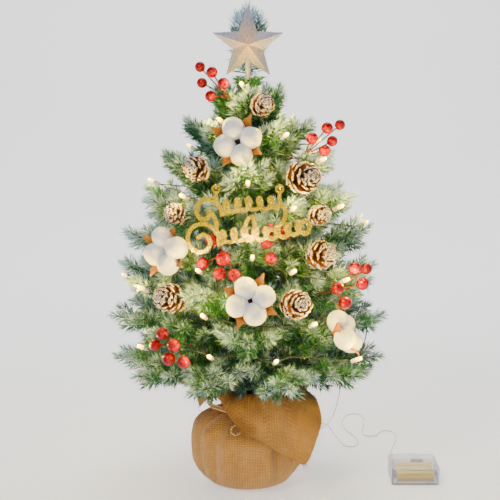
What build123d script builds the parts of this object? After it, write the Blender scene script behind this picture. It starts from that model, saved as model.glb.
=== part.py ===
from build123d import *
from math import atan2, cos, degrees, hypot, pi, radians, sin, tan
import os

# Artificial tabletop tree: a burlap-wrapped weighted base, a pole with wire branches that carry
# needles, a lit star, ornaments, a hanging sign, a light string and its battery box.
# Millimetres, +Z up. The origin is the centre of the base's flat underside and -Y is the front.
# A bearing is an angle round the trunk in degrees, from the front, positive towards +X.

# Driving dimensions
OUTLINE_RADIUS = 178.0  # foliage radius where it is widest
OUTLINE_LOW = 180.0  # height of the widest place
OUTLINE_HIGH = 550.0  # height where the foliage comes to a point
OUTLINE_POWER = 2.5
NEEDLE_STAND = 9.0  # how far the needles stand beyond a branch's wire tip
TRUNK_RADIUS = 4.5
TRUNK_TOP = 470.0
LEADER_RADIUS = 1.5
LEADER_TOP = 552.0
WIRE_RADIUS = 0.9
TWIG_RADIUS = 0.6
PAD_THICKNESS = 5.0
BRANCH_ROOT = 3.5  # inside the pole's wrapping, where the wires are wound round it
LOOSE_BRANCH_ROOT = 5.4
STAR_RADIUS = 47.0
STAR_INNER = 0.42 * STAR_RADIUS
STAR_HEIGHT = 563.0
STAR_DEPTH = 13.0
STAR_WALL = 1.6
SIGN_FRONT = -128.0  # middle of the sign's thickness
SIGN_THICKNESS = 3.0
SIGN_STROKE = 5.0
EYELET_HEIGHT = 400.0
EYELET_X = 37.0
EYELET_NECK = 14.0
LEAD_DIAMETER = 1.6
CELL_RADIUS = 7.1
CELL_LENGTH = 49.2
CELL_PITCH = 15.0
BOX_LEFT = 186.0
BOX_FRONT = -22.0
BOX_WIDTH = 62.0
BOX_DEPTH = 62.0
BOX_HEIGHT = 22.0
BOX_WALL = 1.6

# Tiers: root height, tip height, number of branches, bearing of the first, roll of the fans
TIERS = [
    (150, 166, 10, 18, 0),
    (182, 226, 9, 0, 10),
    (222, 280, 9, 20, 18),
    (262, 330, 8, 5, 18),
    (304, 378, 8, 27, 18),
    (346, 424, 7, 0, 20),
    (388, 466, 6, 25, 20),
    (430, 506, 5, 0, 20),
]
LOOSE_BEARINGS = [90, 126, 162, 198, 234, 270]  # lowest-tier branches that nothing ties down
SIGN_GAP_BEARING = 36  # front branches this near the centre are bent back behind the sign
SIGN_GAP_TIPS = (300, 400)
SIGN_GAP_REACH = 112.0


def around(radius, bearing, height):
    """The point at this distance from the trunk, bearing and height."""
    turn = radians(bearing)
    return Vector(radius * sin(turn), -radius * cos(turn), height)


def outline(height):
    """The foliage's radius at this height."""
    if height < OUTLINE_LOW:
        return OUTLINE_RADIUS - 0.25 * (OUTLINE_LOW - height)
    share = (height - OUTLINE_LOW) / (OUTLINE_HIGH - OUTLINE_LOW)
    return OUTLINE_RADIUS * (1 - min(share, 1) ** OUTLINE_POWER)


def save(name, *solids):
    """Write one node, as one solid or a group of separate ones."""
    export_step(Compound(children=list(solids)), f"parts/{name}.step")


def rod(start, end, radius):
    """A round wire or tube from start to end."""
    way = Vector(end) - Vector(start)
    return Solid.make_cylinder(radius, way.length, Plane(origin=start, z_dir=way))


def ball(centre, radius):
    return Pos(*centre) * Sphere(radius).solid()


def turned(profile, place=Vector(0, 0, 0), way=Vector(0, 0, 1)):
    """A solid of revolution: (radius, height) points turned about the line from place along way."""
    face = make_face(Plane.XZ * Polyline(*profile, close=True))
    solid = revolve(face, Axis.Z, 360).solid()
    return solid.moved(Plane(origin=place, z_dir=way).location)


def tube_path(points):
    """Straight runs joined by arcs as large as the runs allow, with the arcs' radii."""
    points = [Vector(*p) for p in points]
    radii = []
    for before, corner, after in zip(points, points[1:], points[2:]):
        first = corner - before
        second = after - corner
        half = radians(first.get_angle(second)) / 2
        radii.append(0.45 * min(first.length, second.length) / tan(half))
    if not radii:
        return Line(*points), radii
    return FilletPolyline(*points, radius=radii), radii


def wire_along(points, radius):
    """A round wire swept along a route."""
    path, _ = tube_path(points)
    start = Plane(origin=path @ 0, z_dir=path % 0)
    return sweep(start * Circle(radius), path=path).solid()


def slab(corners, thickness):
    """A flat polygon of any tilt, thickened equally to both sides."""
    face = Face(Wire.make_polygon([Vector(*c) for c in corners], close=True))
    return extrude(face, amount=thickness / 2, dir=face.normal_at(), both=True).solid()


# --- Base: burlap square gathered round a weighted pot -----------------------------------
SACK_OUTSIDE = [
    (0, 0), (46, 0), (57, 9), (66, 28), (70, 50), (71, 72), (68.5, 88), (60, 98),
    (50, 104), (50, 110), (58, 118), (68, 128),
]  # fmt: skip
SACK_INSIDE = [
    (66, 128.6), (56.5, 119.6), (48, 110.8), (48, 103), (58.6, 96.4), (66.5, 87), (69, 72),
    (68, 50.4), (64.2, 28.8), (55.8, 10.6), (45.4, 2), (0, 2),
]  # fmt: skip
RIM = (69.0, 126.5)  # just outside the collar's edge, where the corners begin


def sack_corner(bearing, spread, tip):
    """One corner of the burlap square, hanging from the collar's rim to its tip."""
    left = around(RIM[0], bearing - spread, RIM[1])
    right = around(RIM[0], bearing + spread, RIM[1])
    return slab([left, right, tip], 3.0)


def burlap_corners():
    """The square's four corners: a broad one folded down in front, a raised one, two behind."""
    big_tip = Vector(96, -62, 100)
    low_tip = Vector(70, -80, 48)
    near_rim = around(RIM[0], 26, RIM[1])
    far_rim = around(RIM[0], 62, RIM[1])
    folded = slab([near_rim, far_rim, big_tip], 3.0) + slab([near_rim, big_tip, low_tip], 3.0)
    return [
        folded.solid(),
        sack_corner(-52, 16, Vector(-84, -52, 138)),
        sack_corner(142, 24, around(108, 142, 84)),
        sack_corner(-138, 24, around(104, -138, 92)),
    ]


def neck_twine():
    """Two turns of twine round the neck and the small bow they end in."""
    turns = [Pos(0, 0, z) * Torus(51.8, 1.5).solid() for z in (105.6, 109.0)]
    bow = Pos(-15, -72.5, 90) * Rot(X=80) * Torus(6.0, 1.2).solid()
    return [*turns, bow]


POT_FLOOR = 2.4
POT_TOP = 74.0
CEMENT_TOP = 66.0


def base_pot():
    return turned([
        (0, POT_FLOOR), (44, POT_FLOOR), (54, POT_TOP), (52, POT_TOP), (42.3, POT_FLOOR + 2),
        (0, POT_FLOOR + 2),
    ])  # fmt: skip


def cement_fill():
    low = POT_FLOOR + 2.1
    return turned([(TRUNK_RADIUS, low + 6), (TRUNK_RADIUS, CEMENT_TOP), (50.5, CEMENT_TOP),
                   (42.0, low), (0, low), (0, low + 6)])  # fmt: skip


save("burlap_wrap", turned(SACK_OUTSIDE + SACK_INSIDE))
save("burlap_corners", *burlap_corners())
save("base_pot", base_pot())
save("cement_fill", cement_fill())
save("neck_twine", *neck_twine())

# --- Trunk and leader ---------------------------------------------------------------------
save("trunk_pole", rod((0, 0, POT_FLOOR + 8.2), (0, 0, TRUNK_TOP), TRUNK_RADIUS))
save("leader_wire", rod((0, 0, TRUNK_TOP), (0, 0, LEADER_TOP), LEADER_RADIUS))
save("leader_needles", turned([(1.6, 473), (17, 480), (14, 510), (4.4, 516), (1.6, 516)]))


# --- Star topper --------------------------------------------------------------------------
def star_half(side, radius, depth):
    """Half of a faceted star: a flat five-pointed back and a ridged face that meets at one peak."""
    rim = []
    for index in range(10):
        reach = radius if index % 2 == 0 else radius * STAR_INNER / STAR_RADIUS
        turn = radians(90 + 36 * index)
        rim.append(Vector(reach * cos(turn), 0, STAR_HEIGHT + reach * sin(turn)))
    peak = Vector(0, side * depth, STAR_HEIGHT)
    faces = [Face(Wire.make_polygon(rim, close=True))]
    for a, b in zip(rim, rim[1:] + rim[:1]):
        faces.append(Face(Wire.make_polygon([a, b, peak], close=True)))
    return Solid(Shell(faces)).fix()


SOCKET_RADIUS = 3.4
SOCKET_BORE = 2.2
SOCKET_LOW = 520.0


def star_shell(side):
    outside = star_half(side, STAR_RADIUS, STAR_DEPTH)
    inside = star_half(side, STAR_RADIUS - 5, STAR_DEPTH - STAR_WALL)
    neck = rod((0, 0, SOCKET_LOW - 5), (0, 0, STAR_HEIGHT), SOCKET_RADIUS + 0.1)
    return (outside - inside - neck).solid()


save("star_front_shell", star_shell(-1))
save("star_back_shell", star_shell(1))
socket_tube = rod((0, 0, SOCKET_LOW), (0, 0, STAR_HEIGHT - 4), SOCKET_RADIUS)
socket_bore = rod((0, 0, SOCKET_LOW - 1), (0, 0, STAR_HEIGHT - 8), SOCKET_BORE)
save("star_socket", (socket_tube - socket_bore).solid())

# Balls that the branches and the light string keep out of, as (centre, radius)
room = []

# --- Pinecones ----------------------------------------------------------------------------
# Height, bearing, distance from the trunk, diameter and length
PINECONES = [
    (492, 20, 52, 34, 38),
    (419, -34, 108, 36, 40),
    (366, -42, 130, 30, 34),
    (269, -37, 154, 42, 46),
    (408, 36, 112, 48, 50),
    (364, 42, 128, 30, 34),
    (318, 40, 136, 40, 42),
    (266, 22, 154, 42, 46),
]
PINECONE_RISE = 12.0


def outward(bearing, rise):
    """The direction away from the trunk at this bearing, tilted up by rise degrees."""
    lift = radians(rise)
    return around(cos(lift), bearing, sin(lift))


pinecones, pinecone_wires = [], []
for height, bearing, distance, diameter, length in PINECONES:
    way = outward(bearing, PINECONE_RISE)
    back = around(distance, bearing, height) - way * (length / 2)
    wide = diameter / 2
    profile = [
        (0, 0), (0.45 * wide, 0), (0.92 * wide, 0.18 * length), (wide, 0.38 * length),
        (0.78 * wide, 0.70 * length), (0.34 * wide, 0.95 * length), (0, length),
    ]  # fmt: skip
    pinecones.append(turned(profile, back, way))
    room.append((around(distance, bearing, height), 0.56 * length))
    pinecone_wires.append(rod(back - way * 34, back, 0.6))
save("pinecones", *pinecones)
save("pinecone_wires", *pinecone_wires)

# --- Cotton bolls -------------------------------------------------------------------------
# Height, bearing and distance of the boll's middle, and the bearing and rise that it faces
BOLLS = [
    (451, -8, 88, -8, 14),
    (323, -42, 146, -34, 8),
    (272, 1, 154, 3, 14),
    (224, 48, 156, 78, 30),
]
LOBE_RADIUS = 15.6
LOBE_OFFSET = 11.0
SEAM_GAP = 0.9
SEPAL_THICKNESS = 1.1


def reach_out(angle, radius):
    """A point of a boll's own plane."""
    return radius * cos(radians(angle)), radius * sin(radians(angle)), 0


def boll(height, bearing, distance, facing, rise):
    """Four cotton lobes, the four dry sepals in the seams between them, and the stem."""
    way = outward(facing, rise)
    plane = Plane(origin=around(distance, bearing, height), x_dir=around(1, facing + 90, 0), z_dir=way)
    lobes, sepals = [], []
    for quarter in range(4):
        seat = plane.location * Rot(Z=90 * quarter + 45)
        lobe = Pos(LOBE_OFFSET, LOBE_OFFSET, 0) * Sphere(LOBE_RADIUS)
        corner = Pos(SEAM_GAP + 20, SEAM_GAP + 20, 0) * Box(40, 40, 60)
        lobes.append((seat * (lobe & corner)).solid())
        leaf = Polyline((2.5, -9), (12, -14), (23, -5), (30, 7), (20, 3), (8, 5), (2.5, -1), close=True)
        sepal = extrude(make_face(Plane.XZ * leaf), amount=SEPAL_THICKNESS / 2, both=True)
        sepals.append((seat * sepal).solid())
        room.append((plane.from_local_coords(reach_out(quarter * 90, 1.414 * LOBE_OFFSET)), LOBE_RADIUS))
        room.append((plane.from_local_coords(reach_out(quarter * 90 + 45, 24)), 8.5))
    room.append((plane.origin, 19.0))
    back = plane.origin - way * 14.5
    calyx = turned([(0, -8), (1.1, -8), (3.5, 0), (0, 0)], back, way)
    stem = rod(back - way * 34, back - way * 8, 1.1)
    return lobes, sepals, [calyx, stem]


bolls = [boll(*row) for row in BOLLS]
save("cotton_lobes", *[lobe for lobes, _, _ in bolls for lobe in lobes])
save("cotton_sepals", *[sepal for _, sepals, _ in bolls for sepal in sepals])
save("cotton_stems", *[piece for _, _, pieces in bolls for piece in pieces])

# --- Berry picks --------------------------------------------------------------------------
# Each pick: where its stems part, and its berries as (x, y, z, radius)
BERRY_PICKS = [
    ((-26, -22, 500), [(-59, -12, 536, 6.6), (-44, -22, 530, 7.0), (-57, -4, 516, 6.6),
                       (-30, -34, 517, 7.2), (-46, -25, 501, 6.8)]),
    ((68, -62, 432), [(77, -64, 453, 7.4), (96, -50, 464, 7.2), (112, -40, 467, 6.6),
                      (103, -38, 447, 6.8), (93, -56, 437, 7.4)]),
    ((-26, -96, 318), [(-43, -116, 337, 7.2), (-53, -128, 312, 7.4), (-29, -136, 319, 8.6),
                       (-33, -136, 301, 7.4), (-16, -142, 301, 7.2)]),
    ((34, -92, 326), [(26, -116, 350, 6.8), (22, -116, 334, 7.2), (27, -134, 319, 7.2),
                      (43, -116, 345, 7.0)]),
    ((-84, -118, 212), [(-101, -136, 229, 7.4), (-110, -131, 214, 7.2), (-87, -147, 218, 8.0),
                        (-93, -146, 201, 8.0), (-75, -154, 199, 7.6)]),
    ((105, -90, 271), [(128, -100, 301, 7.4), (143, -84, 297, 7.0), (138, -96, 281, 7.8),
                       (106, -128, 282, 7.6), (115, -126, 264, 7.8)]),
]  # fmt: skip
PICK_STEM = 0.9
PICK_STEM_LENGTH = 30.0
BERRY_SINK = 1.5  # how far a stem reaches into its berry

berries, pick_stems = [], []
for fork, places in BERRY_PICKS:
    fork = Vector(*fork)
    stem = (Pos(*fork) * Rot(Y=90) * Sphere(2.4)).solid()  # its poles lie clear of the stems
    inward = Vector(-fork.X, -fork.Y, 0).normalized() * PICK_STEM_LENGTH
    stem = stem.fuse(rod(fork, fork + inward + Vector(0, 0, -8), PICK_STEM)).solid()
    for x, y, z, radius in places:
        centre = Vector(x, y, z)
        way = (centre - fork).normalized()
        berries.append(ball(centre, radius))
        room.append((centre, radius))
        stem = stem.fuse(rod(fork, centre - way * (radius - BERRY_SINK), PICK_STEM)).solid()
    pick_stems.append(stem)
save("red_berries", *berries)
save("berry_stems", *pick_stems)

# --- Hanging sign: two rows of scrollwork that rise to the right --------------------------
SIGN_RISE = 7.0
SIGN_MIDDLE = 371.0  # height that the artwork is drawn about
LOOP_STEPS = 10
UPPER_ROW = (-30.0, 10.0, 5, 13.0, 6.8)  # left end, height, loops, pitch and loop radius
LOWER_ROW = (-38.0, -25.0, 8, 12.6, 7.0)
FLOURISHES = [
    [(-30, 4), (-35, 17), (-46, 23), (-57, 16), (-58, 4), (-50, -1), (-45, 7)],
    [(-38, -30), (-42, -12), (-56, -5), (-71, -13), (-72, -30), (-59, -39), (-48, -31),
     (-52, -19), (-61, -21)],
    [(35, 6), (43, 1), (40, -14), (27, -22), (18, -20)],
    [(-44, 8), (-38, -4), (-40, -18)],
    [(2, -28), (-3, -10), (3, -4), (6, -14)],
    [(62, -32), (69, -27), (67, -18), (61, -18)],
]
FLOURISH_STEPS = 18


def pen_loops(left, height, loops, pitch, size):
    """Points along a run of pen loops: a circle drawn while the pen moves to the right."""
    points = []
    for step in range(LOOP_STEPS * loops + 1):
        turn = 2 * pi * step / LOOP_STEPS
        swell = 1 + 0.2 * sin(0.85 * turn)
        x = left + pitch * step / LOOP_STEPS + 0.7 * size * sin(turn)
        points.append((x, height - size * swell * cos(turn)))
    return points


def pen_stroke(points):
    """The plate left by a round pen that follows the points."""
    pieces = [Pos(*points[0]) * Circle(SIGN_STROKE / 2)]
    for start, end in zip(points, points[1:]):
        start, end = Vector(*start), Vector(*end)
        way = end - start
        slope = degrees(atan2(way.Y, way.X))
        pieces.append(Pos(*((start + end) / 2)) * Rot(Z=slope) * Rectangle(way.length, SIGN_STROKE))
        pieces.append(Pos(*end) * Circle(SIGN_STROKE / 2))
    return pieces


def sign_plate():
    """The scrollwork, leaning by the rows' rise, with its two level eyelets."""
    pieces = pen_stroke(pen_loops(*UPPER_ROW)) + pen_stroke(pen_loops(*LOWER_ROW))
    for points in FLOURISHES:
        curve = Spline(*points)
        steps = [curve @ (step / FLOURISH_STEPS) for step in range(FLOURISH_STEPS + 1)]
        pieces += pen_stroke([(point.X, point.Y) for point in steps])
    art = Sketch() + [Rot(Z=SIGN_RISE) * piece for piece in pieces]
    eye_height = EYELET_HEIGHT - SIGN_MIDDLE
    for x in (-EYELET_X, EYELET_X):
        art += Pos(x, eye_height) * Circle(5.2)
        art += Pos(x, eye_height - EYELET_NECK / 2 - 2.5) * Rectangle(4.5, EYELET_NECK)
    for x in (-EYELET_X, EYELET_X):
        art -= Pos(x, eye_height) * Circle(2.8)
    upright = Plane(origin=(0, SIGN_FRONT, SIGN_MIDDLE), x_dir=(1, 0, 0), z_dir=(0, -1, 0))
    return extrude(upright * art, amount=SIGN_THICKNESS / 2, both=True)


sign = sign_plate()
print("sign solids", len(sign.solids()), "size", sign.bounding_box().size)
save("sign", *sign.solids())
hooks = []
for x in (-EYELET_X, EYELET_X):
    hooks.append(wire_along([
        (x, -84, EYELET_HEIGHT - 6), (x, -100, EYELET_HEIGHT), (x, SIGN_FRONT - 9, EYELET_HEIGHT),
        (x, SIGN_FRONT - 11, EYELET_HEIGHT + 7),
    ], 0.6))  # fmt: skip
save("sign_hooks", *hooks)

# --- Light string -------------------------------------------------------------------------
# Lamps in the string's order, top to bottom: height, bearing and distance from the trunk
LAMPS = [
    (515, -12, 34), (490, 140, 50), (474, -28, 70), (457, 31, 86), (440, 110, 92),
    (430, -130, 96), (428, 48, 118), (404, 0, 112), (387, -37, 126), (390, -100, 122),
    (372, 175, 128), (372, 52, 138), (373, 26, 120), (335, 100, 150), (330, -140, 150),
    (305, -22, 152), (322, 2, 146), (305, 20, 154), (288, 46, 160), (292, 165, 158),
    (277, -50, 164), (262, -105, 164), (255, -18, 166), (243, 27, 168), (248, 120, 166),
    (232, -160, 168), (207, -48, 170), (208, -15, 170), (203, 11, 170), (197, 44, 186),
]  # fmt: skip
LAMP_RISE = 25.0
HOLDER_LENGTH = 8.0
HOLDER_RADIUS = 2.6
BULB_LENGTH = 8.0
BULB_RADIUS = 2.4
STRING_RADIUS = 0.7
STRING_OFFSET = 1.4  # the two wires leave a holder side by side
STRING_DEPTHS = (0.68, 0.60, 0.76, 0.52, 0.44, 0.34)  # shares of the lamps' distance from the trunk
STRING_LIFTS = (-6, 8, -18, 20, -30)
STRING_SAMPLES = 40

bulbs, holders, string = [], [], []
ends = []
for height, bearing, distance in LAMPS:
    way = outward(bearing, LAMP_RISE)
    front = around(distance, bearing, height)
    back = front - way * HOLDER_LENGTH
    bulbs.append(turned([(0, 0), (BULB_RADIUS, 0), (BULB_RADIUS, 0.55 * BULB_LENGTH),
                         (0.6 * BULB_RADIUS, 0.9 * BULB_LENGTH), (0, BULB_LENGTH)], front, way))  # fmt: skip
    holders.append(rod(back, front, HOLDER_RADIUS))
    across = around(1, bearing + 90, 0) * STRING_OFFSET
    ends.append((back, across, bearing, height, distance))


def turn_to(one, two):
    """The bearing to go through from one lamp to the next, by the short way round."""
    return (two[2] - one[2] + 180) % 360 - 180


def string_route(one, two, came):
    """From one holder to the next, as far out in the foliage as the ornaments let it pass."""
    gap = turn_to(one, two)
    side = 1 if gap > 0 else -1
    leave = Vector(0, 0, -STRING_OFFSET) if side == -came else one[1] * side
    best = None
    for share in STRING_DEPTHS:
        for lift in STRING_LIFTS:
            middle = around(share * min(one[4], two[4]), one[2] + gap / 2, (one[3] + two[3]) / 2 + lift)
            points = [one[0] + leave, middle, two[0] - two[1] * side]
            path, _ = tube_path(points)
            samples = [path @ (step / STRING_SAMPLES) for step in range(STRING_SAMPLES + 1)]
            room_left = min((p - c).length - r for p in samples for c, r in room)
            if room_left > STRING_RADIUS + 0.5:
                return points
            if best is None or room_left > best[0]:
                best = room_left, points
    print("string meets an ornament", best[0], one[2:], two[2:])
    return best[1]


came = 0  # the side that the last wire was heading for
for one, two in zip(ends, ends[1:]):
    string.append(wire_along(string_route(one, two, came), STRING_RADIUS))
    came = 1 if turn_to(one, two) > 0 else -1

for back, _, bearing, height, distance in ends:
    front = around(distance, bearing, height)
    room.append((back + (front - back) * 0.6, 3.6))
    room.append((front + (front - back) * 0.4, 4.2))

# The lead to the battery box leaves the foliage between two of the loose branches
LEAD_ROUTE = [
    (124, 42, 140), (124, 45, 118), (121, 58, 92), (118, 82, 66), (114, 114, 43), (108, 148, 24),
    (101, 180, 9), (97, 208, 0.8), (98, 230, 0.8), (108, 237, 0.8), (118, 231, 0.8),
    (122, 208, 0.8), (125, 182, 0.8), (131, 156, 0.8), (134, 135, 0.8), (144, 128, 0.8),
    (154, 134, 0.8), (157, 157, 0.8), (151, 182, 0.8), (142, 206, 0.8), (138, 232, 0.8),
    (142, 258, 0.8), (150, 280, 0.8), (161, 286, 0.8), (171, 279, 0.8), (174, 256, 0.8),
    (171, 230, 0.8), (167, 205, 0.8), (166, 183, 0.8), (175, 175, 0.8), (186, 179, 0.8),
    (191, 197, 0.8), (200, 204, 0.8), (210, 199, 0.8), (214, 180, 0.8), (210, 154, 0.8),
    (203, 129, 0.8), (198, 103, 1.2), (195, 80, 3.0), (195, 63, 5.0), (195, 48, 6.0),
]  # fmt: skip
last = ends[-1]
string.append(wire_along([
    last[0] + last[1], (132, -98, 182), (150, -40, 208), (150, 6, 218), (134, 36, 210), (124, 42, 180), LEAD_ROUTE[0],
], LEAD_DIAMETER / 2))  # fmt: skip
save("led_bulbs", *bulbs)
save("led_holders", *holders)
save("light_string_wire", *string)

lead_path, lead_radii = tube_path(LEAD_ROUTE)
lead = wire_along(LEAD_ROUTE, LEAD_DIAMETER / 2)
print("lead length", round(lead_path.length), "radii", [round(r, 1) for r in lead_radii])
print("lead volume over section x length",
      round(lead.volume / (pi * LEAD_DIAMETER**2 / 4 * lead_path.length), 4))  # fmt: skip
save("lead_wire", lead)

# --- Branches -----------------------------------------------------------------------------
SIDE_TWIGS = [(0.40, 0.34), (0.64, 0.28)]  # where on the branch, and how long, as shares of it
TWIG_ANGLE = 32.0
WIRE_GAP = 1.6  # from a wire's axis to an ornament
PAD_GAP = 0.6
SMALLEST_PAD = 80.0  # cubic millimetres; a smaller scrap of a pad is left out
TRIM_STEPS = 40


def clear_of_room(point, gap):
    return all((point - centre).length > radius + gap for centre, radius in room)


def trimmed(start, end):
    """How much of a straight wire there is before it would reach an ornament, as a share."""
    for step in range(TRIM_STEPS + 1):
        if not clear_of_room(start + (end - start) * (step / TRIM_STEPS), WIRE_GAP):
            return max(step - 1, 0) / TRIM_STEPS
    return 1.0


def branch_frame(root_height, tip_height, bearing, root, roll):
    """A branch's plane: x along its wire, y across the fan, and its wire's length."""
    reach = outline(tip_height) - NEEDLE_STAND
    turn = (bearing + 180) % 360 - 180
    low, high = SIGN_GAP_TIPS
    if abs(turn) < SIGN_GAP_BEARING and low < tip_height < high:
        reach = min(reach, SIGN_GAP_REACH)
    start = around(root, bearing, root_height)
    end = around(reach, bearing, tip_height)
    way = end - start
    level = around(1, bearing + 90, 0)
    up = way.cross(level).normalized()
    lean = radians(roll)
    plane = Plane(origin=start, x_dir=way, z_dir=up * cos(lean) + level * sin(lean))
    return plane, way.length * trimmed(start, end)


def branch_wire(plane, length):
    """The twisted stem of one branch with its side twigs, each as long as the ornaments let it be."""
    stem = rod(plane.from_local_coords((0, 0, 0)), plane.from_local_coords((length, 0, 0)),
               WIRE_RADIUS)  # fmt: skip
    turn = radians(TWIG_ANGLE)
    twigs = []
    for place, share in SIDE_TWIGS:
        for side in (-1, 1):
            shift = 0 if side < 0 else 0.05
            start = Vector((place + shift) * length, 0, 0)
            end = start + Vector(cos(turn), side * sin(turn), 0) * share * length
            start, end = plane.from_local_coords(start), plane.from_local_coords(end)
            kept = trimmed(start, end)
            if kept > 0.2:
                twigs.append(rod(start, start + (end - start) * kept, TWIG_RADIUS))
    return stem.fuse(*twigs).solid() if twigs else stem


def branch_pad(plane, length, count):
    """A fan-shaped solid round one branch's needles, in its own sector and parted by ornaments."""
    sector = tan(pi / count) * hypot(plane.x_dir.X, plane.x_dir.Y)
    wide = min(0.19 * length + 5, sector * 0.62 * length - 2)
    tip = min(12.0, sector * length - 4)
    half = [(0.14 * length, 4), (0.62 * length, wide), (0.86 * length, wide), (length + 6, tip * 0.7)]
    outline_points = half + [(x, -y) for x, y in reversed(half)]
    face = make_face(plane * Polyline(*outline_points, close=True))
    pad = extrude(face, amount=PAD_THICKNESS / 2, dir=plane.z_dir, both=True).solid()
    box = pad.bounding_box()
    middle = box.center()
    for centre, radius in room:
        if (centre - middle).length < box.diagonal / 2 + radius:
            pad = pad - ball(centre, radius + PAD_GAP)
    return [piece for piece in pad.solids() if piece.volume > SMALLEST_PAD]


for number, (root_height, tip_height, count, first, roll) in enumerate(TIERS, start=1):
    wires, pads = [], []
    for index in range(count):
        bearing = first + index * 360 / count
        is_loose = number == 1 and bearing in LOOSE_BEARINGS
        root = LOOSE_BRANCH_ROOT if is_loose else BRANCH_ROOT
        tilt = roll if index % 2 else -roll
        plane, length = branch_frame(root_height, tip_height, bearing, root, tilt)
        wire = branch_wire(plane, length)
        pad = branch_pad(plane, length, count)
        if is_loose:
            save(f"loose_branch_{LOOSE_BEARINGS.index(bearing) + 1}_wire", wire)
            save(f"loose_branch_{LOOSE_BEARINGS.index(bearing) + 1}_needles", *pad)
        else:
            wires.append(wire)
            pads += pad
    print("tier", number, "wires", len(wires), "pads", len(pads))
    save(f"tier_{number}_wires", *wires)
    save(f"tier_{number}_needles", *pads)

# --- Battery box --------------------------------------------------------------------------
BOX_RIGHT = BOX_LEFT + BOX_WIDTH
BOX_BACK = BOX_FRONT + BOX_DEPTH
COVER_THICKNESS = 1.6
COVER_SLOT = 2.2  # height of the grooves that the cover slides in
GROOVE_DEPTH = 0.9
COVER_GAP = 0.3
SLOT_LOW = BOX_HEIGHT - 1.0 - COVER_SLOT
CELL_HEIGHT = BOX_WALL + CELL_RADIUS + 0.3
FIRST_CELL_Y = BOX_FRONT + BOX_WALL + CELL_RADIUS + 0.5
CELL_MIDDLE_X = (BOX_LEFT + BOX_RIGHT) / 2
PARTITION_Y = FIRST_CELL_Y + 2 * CELL_PITCH + CELL_RADIUS + 0.6
SWITCH_X = CELL_MIDDLE_X + 8
SWITCH_TRAVEL = 4.0
GROMMET_X = 195.0
GROMMET_Z = 6.0


def block(low, high):
    """A box from its lowest to its highest corner."""
    size = [b - a for a, b in zip(low, high)]
    return Pos(*[(a + b) / 2 for a, b in zip(low, high)]) * Box(*size)


def battery_case():
    """An open tray with a partition for the switch, grooves for the cover and ribs between cells."""
    case = block((BOX_LEFT, BOX_FRONT, 0), (BOX_RIGHT, BOX_BACK, BOX_HEIGHT))
    case = fillet(case.edges().filter_by(Axis.Z), 3.0)
    case -= block((BOX_LEFT + BOX_WALL, BOX_FRONT + BOX_WALL, BOX_WALL),
                  (BOX_RIGHT - BOX_WALL, BOX_BACK - BOX_WALL, BOX_HEIGHT + 1))  # fmt: skip
    case -= block((BOX_LEFT + BOX_WALL, BOX_FRONT + BOX_WALL - GROOVE_DEPTH, SLOT_LOW),
                  (BOX_RIGHT + 1, BOX_BACK - BOX_WALL + GROOVE_DEPTH, SLOT_LOW + COVER_SLOT))  # fmt: skip
    case -= block((BOX_RIGHT - BOX_WALL - 1, BOX_FRONT + BOX_WALL, SLOT_LOW),
                  (BOX_RIGHT + 1, BOX_BACK - BOX_WALL, BOX_HEIGHT + 1))  # fmt: skip
    case += block((BOX_LEFT + 1, PARTITION_Y, 1), (BOX_RIGHT - 1, PARTITION_Y + 1.2, SLOT_LOW - 0.6))
    for row in (0.5, 1.5):
        y = FIRST_CELL_Y + row * CELL_PITCH
        case += block((CELL_MIDDLE_X - 16, y - 0.3, 1), (CELL_MIDDLE_X + 16, y + 0.3, 6))
    case -= block((SWITCH_X - 6.5, BOX_BACK - 3, 7.4), (SWITCH_X + 6.5, BOX_BACK + 1, 12.6))
    case -= rod((GROMMET_X, BOX_BACK - 3, GROMMET_Z), (GROMMET_X, BOX_BACK + 1, GROMMET_Z), 1.9)
    return case.solid()


def battery_cell(row):
    """A cell with its raised positive end, turned end for end in alternate rows."""
    side = 1 if row % 2 == 0 else -1
    y = FIRST_CELL_Y + row * CELL_PITCH
    start = Vector(CELL_MIDDLE_X - side * CELL_LENGTH / 2, y, CELL_HEIGHT)
    profile = [(0, 0), (CELL_RADIUS, 0), (CELL_RADIUS, CELL_LENGTH), (2.7, CELL_LENGTH),
               (2.7, CELL_LENGTH + 1.2), (0, CELL_LENGTH + 1.2)]  # fmt: skip
    return turned(profile, start, Vector(side, 0, 0))


def contact_spring(row):
    """The coil that presses on a cell's flat end."""
    side = 1 if row % 2 == 0 else -1
    y = FIRST_CELL_Y + row * CELL_PITCH
    wall = CELL_MIDDLE_X - side * (BOX_WIDTH / 2 - BOX_WALL - 0.7)
    rings = []
    for index, radius in enumerate((4.2, 3.6, 3.0)):
        x = wall + side * (0.45 + index * 1.0)
        rings.append(Pos(x, y, CELL_HEIGHT) * Rot(Y=90) * Torus(radius, 0.4).solid())
    return rings


def contact_plate(row, side):
    """A spring-steel plate in its place against an end wall."""
    y = FIRST_CELL_Y + row * CELL_PITCH
    x = CELL_MIDDLE_X + side * (BOX_WIDTH / 2 - BOX_WALL - 0.35)
    return block((x - 0.25, y - 5.5, 2.6), (x + 0.25, y + 5.5, 15)).solid()


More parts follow.
